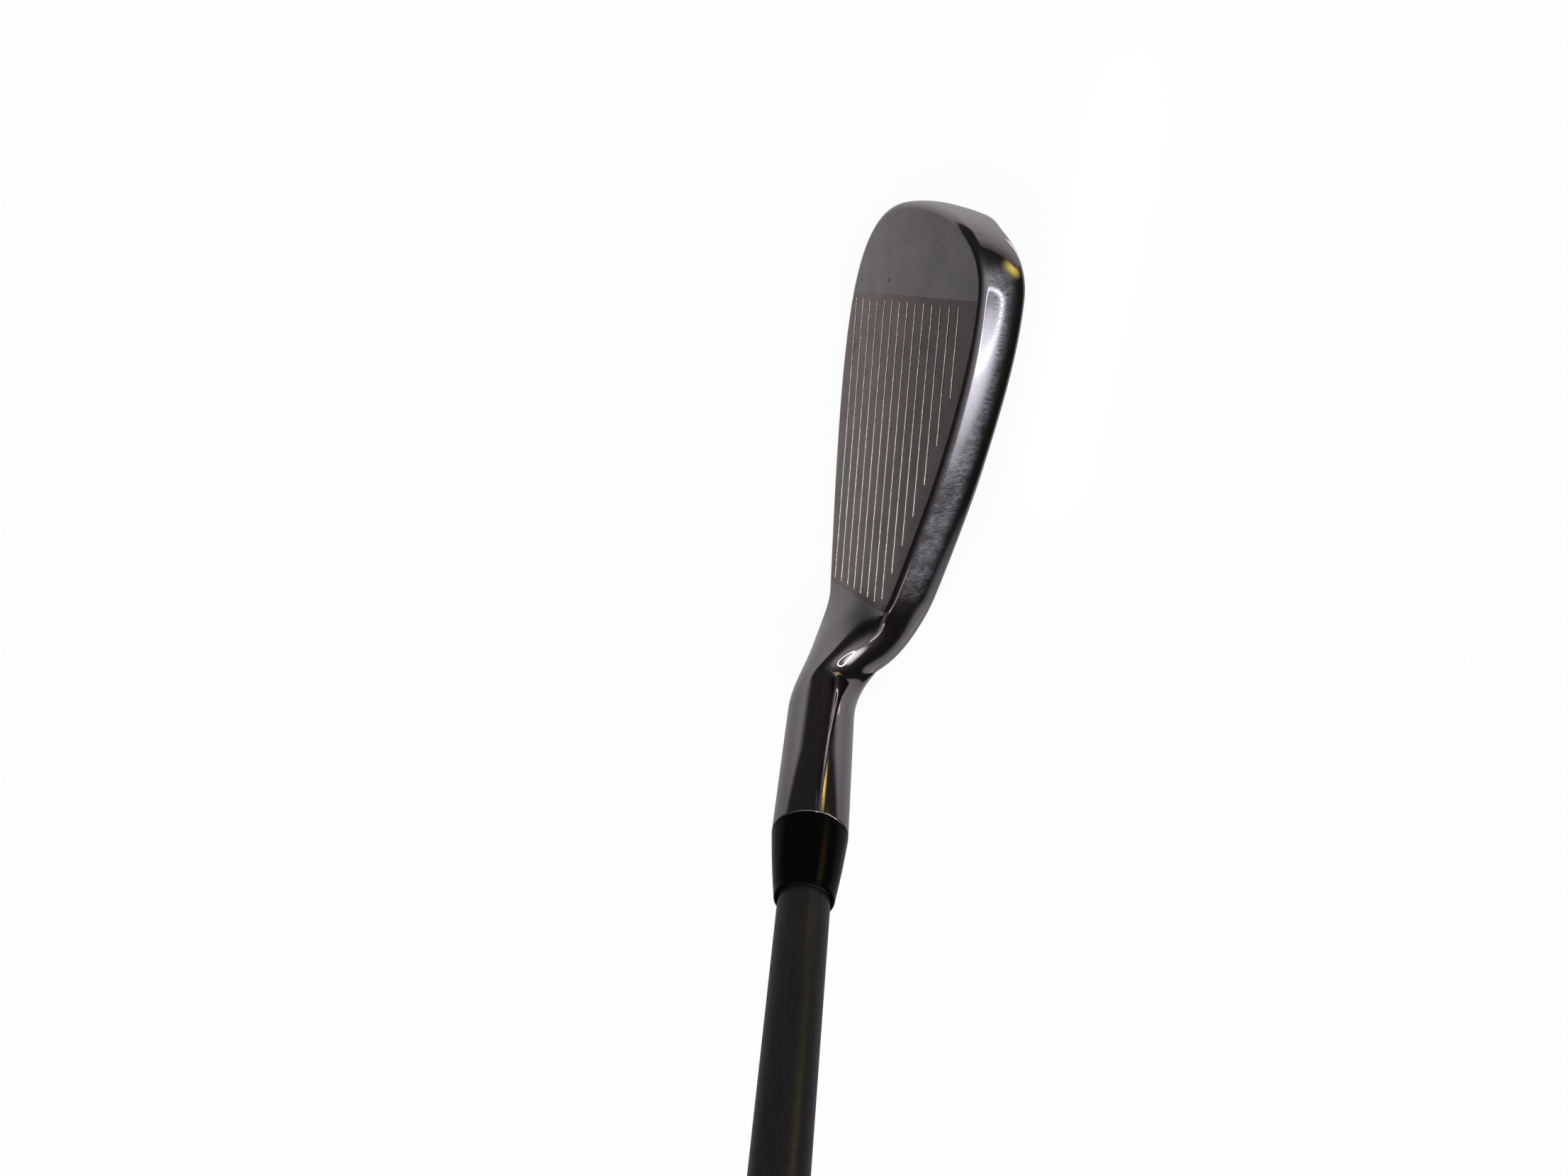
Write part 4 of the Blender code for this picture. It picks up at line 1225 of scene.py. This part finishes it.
def cap_profile():
    """Rounded end cap with a shallow ring groove and the vent hole."""
    start, end = node_span("grip_cap")
    _, grip_end = node_span("grip_sleeve")
    seat = grip_end + CAP_SEAT_GAP
    groove = GRIP_BUTT_RADIUS * CAP_GROOVE_SHARE
    vent = (CAP_VENT_RADIUS, mix(start, end, 0.5))
    corners = [
        vent, (CAP_VENT_RADIUS, start), (CAP_SPIGOT_RADIUS, start), (CAP_SPIGOT_RADIUS, seat),
        (GRIP_BUTT_RADIUS, seat), (GRIP_BUTT_RADIUS, end), (groove + GRIP_RING_WIDTH / 2, end),
        (groove, end - GRIP_RING_DEPTH), (groove - GRIP_RING_WIDTH / 2, end), (CAP_VENT_RADIUS, end), vent]
    reaches = [CAP_SOFT] * 4 + [CAP_EDGE] + [CAP_SOFT] * 4
    return eased(corners, reaches)[:-1]


def grip_mark_points(look):
    """Places of the marks in staggered rows, each with its outward direction and slant."""
    mouth, end = node_span("grip_sleeve")
    bead = end - GRIP_BEAD
    turn = SHAFT_TURN.to_3x3()
    points = []
    outwards = []
    slants = []
    for row in range(look.rows):
        along = mix(mouth + MARK_MARGIN, bead - MARK_MARGIN, row / (look.rows - 1))
        radius = grip_radius((along - mouth) / (bead - mouth))
        for column in range(look.columns):
            angle = 2 * math.pi * (column + row % 2 / 2) / look.columns
            outward = turn @ Vector((math.cos(angle), math.sin(angle), 0.0))
            points.append(AXIS_FOOT + SHAFT_AXIS * along + outward * radius)
            outwards.append(outward)
            slants.append(1.0 if row % 2 else -1.0)
    return point_mesh("grip_mark_points", points, outward=outwards, slant=slants)


def grip_marks(name, look, material):
    """Raised slanted marks, each a flattened ball half sunk in the grip."""
    marks = Pattern(
        "grip_marks", Length=look.mark_length, Width=look.mark_width, Height=look.mark_height,
        Tilt=look.mark_tilt, Material=material)
    given = marks.given
    size = marks.vector(given["Length"], given["Width"], marks.times(given["Height"], 2.0))
    ball = marks.out("GeometryNodeMeshUVSphere", {"Segments": 8, "Rings": 4, "Radius": 0.5})
    mark = marks.out("GeometryNodeTransform", {"Geometry": ball, "Scale": size})
    align = "FunctionNodeAlignRotationToVector"
    stand = marks.out(align, {"Vector": marks.carried("outward", "FLOAT_VECTOR")}, axis="Z")
    lie = marks.out(align, {"Rotation": stand, "Vector": SHAFT_AXIS}, axis="X", pivot_axis="Z")
    tilt = marks.vector(z=marks.times(marks.carried("slant"), given["Tilt"]))
    turn = marks.out("FunctionNodeEulerToRotation", {0: tilt})
    slanted = marks.out(
        "FunctionNodeRotateRotation", {"Rotation": lie, "Rotate By": turn}, rotation_space="LOCAL")
    piece = marks.grow(name, grip_mark_points(look), marks.copies(mark, Rotation=slanted))
    piece.data.shade_smooth()
    return piece


# Stage

def new_material(name):
    material = bpy.data.materials.new(name)
    material.use_nodes = True
    return material, Nodes(material.node_tree)


def card_mesh(name, half_width, half_height):
    mesh = bpy.data.meshes.new(name)
    corners = [(-1, -1), (1, -1), (1, 1), (-1, 1)]
    mesh.from_pydata([(x * half_width, y * half_height, 0.0) for x, y in corners], [], [(0, 1, 2, 3)])
    return mesh


def floor(look):
    """A pale floor, white where it is seen directly, that keeps the club's shadow."""
    plane = add_object("floor", card_mesh("floor", FLOOR_HALF, FLOOR_HALF))
    plane.location.z = -FLOOR_GAP
    plane.visible_glossy = False
    material, nodes = new_material("pale_floor")
    shader = nodes.tree.nodes["Principled BSDF"]
    shader.inputs["Base Color"].default_value = opaque(look.floor)
    shader.inputs["Roughness"].default_value = FLOOR_ROUGHNESS
    path = nodes.add("ShaderNodeLightPath").outputs
    seen = nodes.calc("MAXIMUM", path["Is Camera Ray"], path["Is Glossy Ray"])
    seen = nodes.calc("MAXIMUM", seen, path["Is Transmission Ray"])
    glow = nodes.out("ShaderNodeEmission", {"Color": opaque(WHITE), "Strength": 1.0})
    nodes.show(nodes.mixed(nodes.times(seen, FLOOR_WHITE), shader.outputs[0], glow))
    plane.data.materials.append(material)


def sky_direction(azimuth, elevation):
    turn = math.radians(azimuth)
    rise = math.radians(elevation)
    level = math.cos(rise)
    return Vector((math.cos(turn) * level, math.sin(turn) * level, math.sin(rise)))


def glow_towards(nodes, ray, azimuth, elevation, rim, strength):
    """Soft light from one side of the room, fading out at an angle from its middle."""
    inputs = {0: ray, 1: sky_direction(azimuth, elevation)}
    near = nodes.add("ShaderNodeVectorMath", inputs, operation="DOT_PRODUCT").outputs["Value"]
    return nodes.span(near, math.cos(math.radians(rim)), 1.0, 0.0, strength)


def room_brightness(nodes, ray):
    """Brightness of the room in polished metal: the pale floor below, dim walls and soft glows above."""
    sideways, _, height = nodes.axes(ray)
    elevation = nodes.calc("DIVIDE", nodes.calc("ARCSINE", height), math.pi)
    ramp = nodes.add("ShaderNodeValToRGB", {0: nodes.plus(elevation, 0.5)})
    stops = ramp.color_ramp.elements
    while len(stops) < len(ROOM):
        stops.new(0.5)
    for stop, (degrees, level) in zip(stops, ROOM):
        stop.position = degrees / 180 + 0.5
        stop.color = (level, level, level, 1.0)
    walls = nodes.times(ramp.outputs[0], nodes.span(sideways, *ROOM_TOE_SIDE, 1.0, ROOM_TOE_GAIN))
    return nodes.plus(walls, *[glow_towards(nodes, ray, *glow) for glow in ROOM_GLOWS])


def surroundings(look):
    """White behind the club, the room in its metal, and an even fill for the rest."""
    world = bpy.data.worlds.new("studio")
    bpy.context.scene.world = world
    world.use_nodes = True
    nodes = Nodes(world.node_tree)
    ray = nodes.add("ShaderNodeTexCoord").outputs["Generated"]
    room, fill, white = [
        nodes.out("ShaderNodeBackground", {"Color": opaque(WHITE), "Strength": strength})
        for strength in (room_brightness(nodes, ray), look.fill, BACKDROP_WHITE)]
    path = nodes.add("ShaderNodeLightPath").outputs
    mirrored = nodes.calc("MAXIMUM", path["Is Glossy Ray"], path["Is Transmission Ray"])
    around = nodes.mixed(mirrored, fill, room)
    nodes.show(nodes.mixed(path["Is Camera Ray"], around, white), "World Output")


def new_glow(name):
    """A bare material for a lamp, with its nodes and the place across and along the lamp."""
    material, nodes = new_material(name)
    nodes.tree.nodes.remove(nodes.tree.nodes["Principled BSDF"])
    across, along, _ = nodes.axes(nodes.object_place())
    return material, nodes, across, along


def end_glow(nodes, colour, strength, see_through=True):
    glow = nodes.out("ShaderNodeEmission", {"Color": opaque(colour), "Strength": strength})
    if see_through:
        glow = nodes.out("ShaderNodeAddShader", {0: nodes.out("ShaderNodeBsdfTransparent"), 1: glow})
    nodes.show(glow)


def hanging(azimuth, elevation, spot=HEAD_CENTRE, distance=LAMP_DISTANCE):
    """Place and turn of a lamp that faces a spot from a direction."""
    away = sky_direction(azimuth, elevation)
    turn = away.to_track_quat("Z", "Y").to_matrix().to_4x4()
    return Matrix.Translation(spot + away * distance) @ turn


def half_size(angle, distance=LAMP_DISTANCE):
    """Half the size of what fills an angle at a distance."""
    return distance * math.tan(math.radians(angle / 2))


def place_lamp(name, mesh, material, matrix):
    """A glowing mesh that shows only in reflections and by its light."""
    lamp = add_object(name, mesh)
    mesh.materials.append(material)
    lamp.matrix_world = matrix
    lamp.visible_camera = False
    lamp.visible_shadow = False


def ring_lamp(name, azimuth, elevation, ring_angle, tube_angle, strength):
    material, nodes, _, _ = new_glow(name)
    end_glow(nodes, LAMP_WHITE, strength)
    radii = (half_size(ring_angle) - half_size(tube_angle), half_size(ring_angle) + half_size(tube_angle))
    build = loft([circle(radius, sides=RING_LAMP_SIDES) for radius in radii], Matrix())
    place_lamp(name, as_mesh(name, build), material, hanging(azimuth, elevation))


def fading_card(name, matrix, half_width, half_height, colour, strength, even_share=0.0):
    """A glowing card that fades out towards its edges, lengthwise only past an even share."""
    material, nodes, across, along = new_glow(name)
    side_fade = nodes.span(nodes.calc("ABSOLUTE", across), half_width, 0.0, 0.0, strength)
    end_fade = nodes.span(nodes.calc("ABSOLUTE", along), half_height, half_height * even_share)
    end_glow(nodes, colour, nodes.times(side_fade, end_fade))
    place_lamp(name, card_mesh(name, half_width, half_height), material, matrix)


def hanging_card(name, azimuth, elevation, width_angle, height_angle, colour, strength):
    matrix = hanging(azimuth, elevation)
    fading_card(name, matrix, half_size(width_angle), half_size(height_angle), colour, strength)


def floor_strip(name, start, end, width, colour, strength, even_share):
    """A slim glowing strip that lies just above the floor from one point to another."""
    run = Vector(end) - Vector(start)
    middle = (Vector(start) + Vector(end)) / 2
    matrix = Matrix.Translation(middle) @ run.to_track_quat("Y", "Z").to_matrix().to_4x4()
    fading_card(name, matrix, width / 2, run.length / 2, colour, strength, even_share)


def toe_card(name, azimuth, elevation, width_angle, height_angle, low_glow, top_glow):
    """A dull card close to the toe that shows in its polished band, brighter towards its lower edge."""
    half_width = half_size(width_angle, TOE_CARD_DISTANCE)
    half_height = half_size(height_angle, TOE_CARD_DISTANCE)
    material, nodes, _, along = new_glow(name)
    strength = nodes.span(along, -half_height, half_height, low_glow, top_glow)
    end_glow(nodes, WHITE, strength, see_through=False)
    matrix = hanging(azimuth, elevation, TOE_CARD_SPOT, TOE_CARD_DISTANCE)
    place_lamp(name, card_mesh(name, half_width, half_height), material, matrix)


def soft_lamp(name, azimuth, elevation, distance, size, power):
    """A round area lamp that lights the club and doesn't show in its metal."""
    data = bpy.data.lights.new(name, "AREA")
    data.shape = "ELLIPSE"
    data.size = size
    data.size_y = size
    data.energy = power
    lamp = add_object(name, data)
    lamp.matrix_world = hanging(azimuth, elevation, distance=distance)
    lamp.visible_camera = False
    lamp.visible_glossy = False


def lamps(look):
    """Lamps and cards where the photographed metal has its highlights; angles are degrees."""
    ring_lamp(
        "toe_ring_lamp", azimuth=80.0, elevation=60.0, ring_angle=44.0, tube_angle=4.4, strength=look.ring)
    floor_strip(
        "pale_strip", start=(0.024, 0.0383, 0.003), end=(-0.075, 0.0460, 0.003), width=0.011,
        colour=(1.0, 0.90, 0.88), strength=2.6, even_share=0.7)
    toe_card(
        "toe_card", azimuth=154.0, elevation=-17.0, width_angle=64.0, height_angle=24.0,
        low_glow=0.34, top_glow=0.13)
    hanging_card(
        "toe_glint", azimuth=132.0, elevation=2.0, width_angle=30.0, height_angle=30.0,
        colour=(1.0, 0.80, 0.16), strength=1.5)
    hanging_card(
        "hosel_glint", azimuth=154.0, elevation=-13.0, width_angle=14.0, height_angle=18.0,
        colour=(1.0, 0.75, 0.12), strength=2.2)
    soft_lamp("front_lamp", azimuth=-40.0, elevation=66.0, distance=0.9, size=0.45, power=look.front)
    soft_lamp("overhead_lamp", azimuth=-20.0, elevation=80.0, distance=1.6, size=1.4, power=look.overhead)


def camera():
    data = bpy.data.cameras.new("camera")
    data.sensor_width = SENSOR_WIDTH
    data.lens = CAMERA_LENS
    data.clip_start = CAMERA_NEAREST
    thing = add_object("camera", data)
    forward = CAMERA_FORWARD.normalized()
    right = CAMERA_RIGHT.normalized()
    up = right.cross(forward)
    turn = Matrix((right, up, -forward)).transposed().to_4x4()
    thing.matrix_world = FACE_FRAME @ Matrix.Translation(CAMERA_PLACE) @ turn
    bpy.context.scene.camera = thing


# Operators

class CLUB_OT_head(bpy.types.Operator):
    """Build the head with its score lines"""

    bl_idname = "club.head"
    bl_label = "Head"

    def execute(self, context):
        look = context.scene.club_head
        build = loft(head_rings(), FACE_FRAME, closed_end=True)
        for vertex in build.verts:
            vertex.co.z = max(vertex.co.z, 0.0)
        head = mesh_piece("polished_head", build, head_steel(look))
        cut_score_lines(head, look)
        finish_piece(head, "head_steel", "iron_head")
        return {"FINISHED"}


class CLUB_OT_badge(bpy.types.Operator):
    """Build the badge in the cavity with its ribs"""

    bl_idname = "club.badge"
    bl_label = "Badge"

    def execute(self, context):
        look = context.scene.club_badge
        plate_finish = brushed_plate("badge_plate_finish", look.plate, PLATE_ROUGHNESS)
        finish_piece(badge_plate("badge_face", plate_finish), "badge_plate", "cavity_badge")
        rib_finish = brushed_plate("badge_rib_finish", look.rib, RIB_ROUGHNESS)
        finish_piece(badge_ribs("badge_ribs", look, rib_finish), "badge_plate")
        return {"FINISHED"}


class CLUB_OT_shaft(bpy.types.Operator):
    """Build the shaft and the ferrule"""

    bl_idname = "club.shaft"
    bl_label = "Shaft and ferrule"

    def execute(self, context):
        look = context.scene.club_shaft
        tube = turned("shaft_tube", shaft_profile(), shaft_carbon(look))
        finish_piece(tube, "shaft_carbon", "shaft")
        collar = turned("ferrule_collar", ferrule_profile(), ferrule_black(look))
        finish_piece(collar, "ferrule_plastic", "ferrule")
        return {"FINISHED"}


class CLUB_OT_grip(bpy.types.Operator):
    """Build the grip with its marks and the end cap"""

    bl_idname = "club.grip"
    bl_label = "Grip and cap"

    def execute(self, context):
        look = context.scene.club_grip
        material = rubber("grip_rubber_finish", look.rubber)
        finish_piece(turned("rubber_grip", grip_profile(), material), "grip_rubber", "grip_sleeve")
        finish_piece(grip_marks("rubber_marks", look, material), "grip_rubber")
        cap = turned("rubber_cap", cap_profile(), rubber("cap_rubber_finish", look.rubber))
        finish_piece(cap, "cap_rubber", "grip_cap")
        return {"FINISHED"}


class CLUB_OT_inner(bpy.types.Operator):
    """Give the pieces inside the club their finishes"""

    bl_idname = "club.inner"
    bl_label = "Inner pieces"

    def execute(self, context):
        coats = {
            "badge_pad": plain_grain(
                "pad_foam_finish", (0.045, 0.045, 0.045), (0.07, 0.07, 0.07), scale=900.0, roughness=0.9),
            "tip_weight": plain_grain(
                "tip_brass_finish", (0.68, 0.50, 0.24), (0.60, 0.42, 0.19), scale=400.0, roughness=0.35,
                metallic=1.0),
            "grip_tape": plain_grain(
                "tape_finish", (0.70, 0.68, 0.62), (0.62, 0.60, 0.54), scale=300.0, roughness=0.8),
        }
        for node, coat in coats.items():
            materials = frame["nodes"][node].data.materials
            materials.clear()
            materials.append(coat)
        return {"FINISHED"}


class CLUB_OT_stage(bpy.types.Operator):
    """Set up the floor, the light and the camera"""

    bl_idname = "club.stage"
    bl_label = "Stage"

    def execute(self, context):
        look = context.scene.club_stage
        floor(look)
        surroundings(look)
        lamps(look)
        camera()
        context.scene.view_settings.view_transform = "Standard"
        return {"FINISHED"}


class CLUB_PT_builder(bpy.types.Panel):
    """Lists the club's pieces in the sidebar"""

    bl_idname = "CLUB_PT_builder"
    bl_label = "Iron golf club"
    bl_space_type = "VIEW_3D"
    bl_region_type = "UI"
    bl_category = "Club"

    def draw(self, context):
        for operator in OPERATORS:
            self.layout.operator(operator.bl_idname)


OPERATORS = (CLUB_OT_head, CLUB_OT_badge, CLUB_OT_shaft, CLUB_OT_grip, CLUB_OT_inner, CLUB_OT_stage)
SETTINGS = {
    "club_head": HeadSettings, "club_badge": BadgeSettings, "club_shaft": ShaftSettings,
    "club_grip": GripSettings, "club_stage": StageSettings,
}


def register():
    for name, group in SETTINGS.items():
        bpy.utils.register_class(group)
        setattr(bpy.types.Scene, name, PointerProperty(type=group))
    for operator in OPERATORS:
        bpy.utils.register_class(operator)
    bpy.utils.register_class(CLUB_PT_builder)


def unregister():
    bpy.utils.unregister_class(CLUB_PT_builder)
    for operator in reversed(OPERATORS):
        bpy.utils.unregister_class(operator)
    for name, group in SETTINGS.items():
        delattr(bpy.types.Scene, name)
        bpy.utils.unregister_class(group)


def main():
    register()
    bpy.ops.club.head()
    bpy.ops.club.badge()
    bpy.ops.club.shaft()
    bpy.ops.club.grip()
    bpy.ops.club.inner()
    bpy.ops.club.stage()


if __name__ == "__main__":
    main()
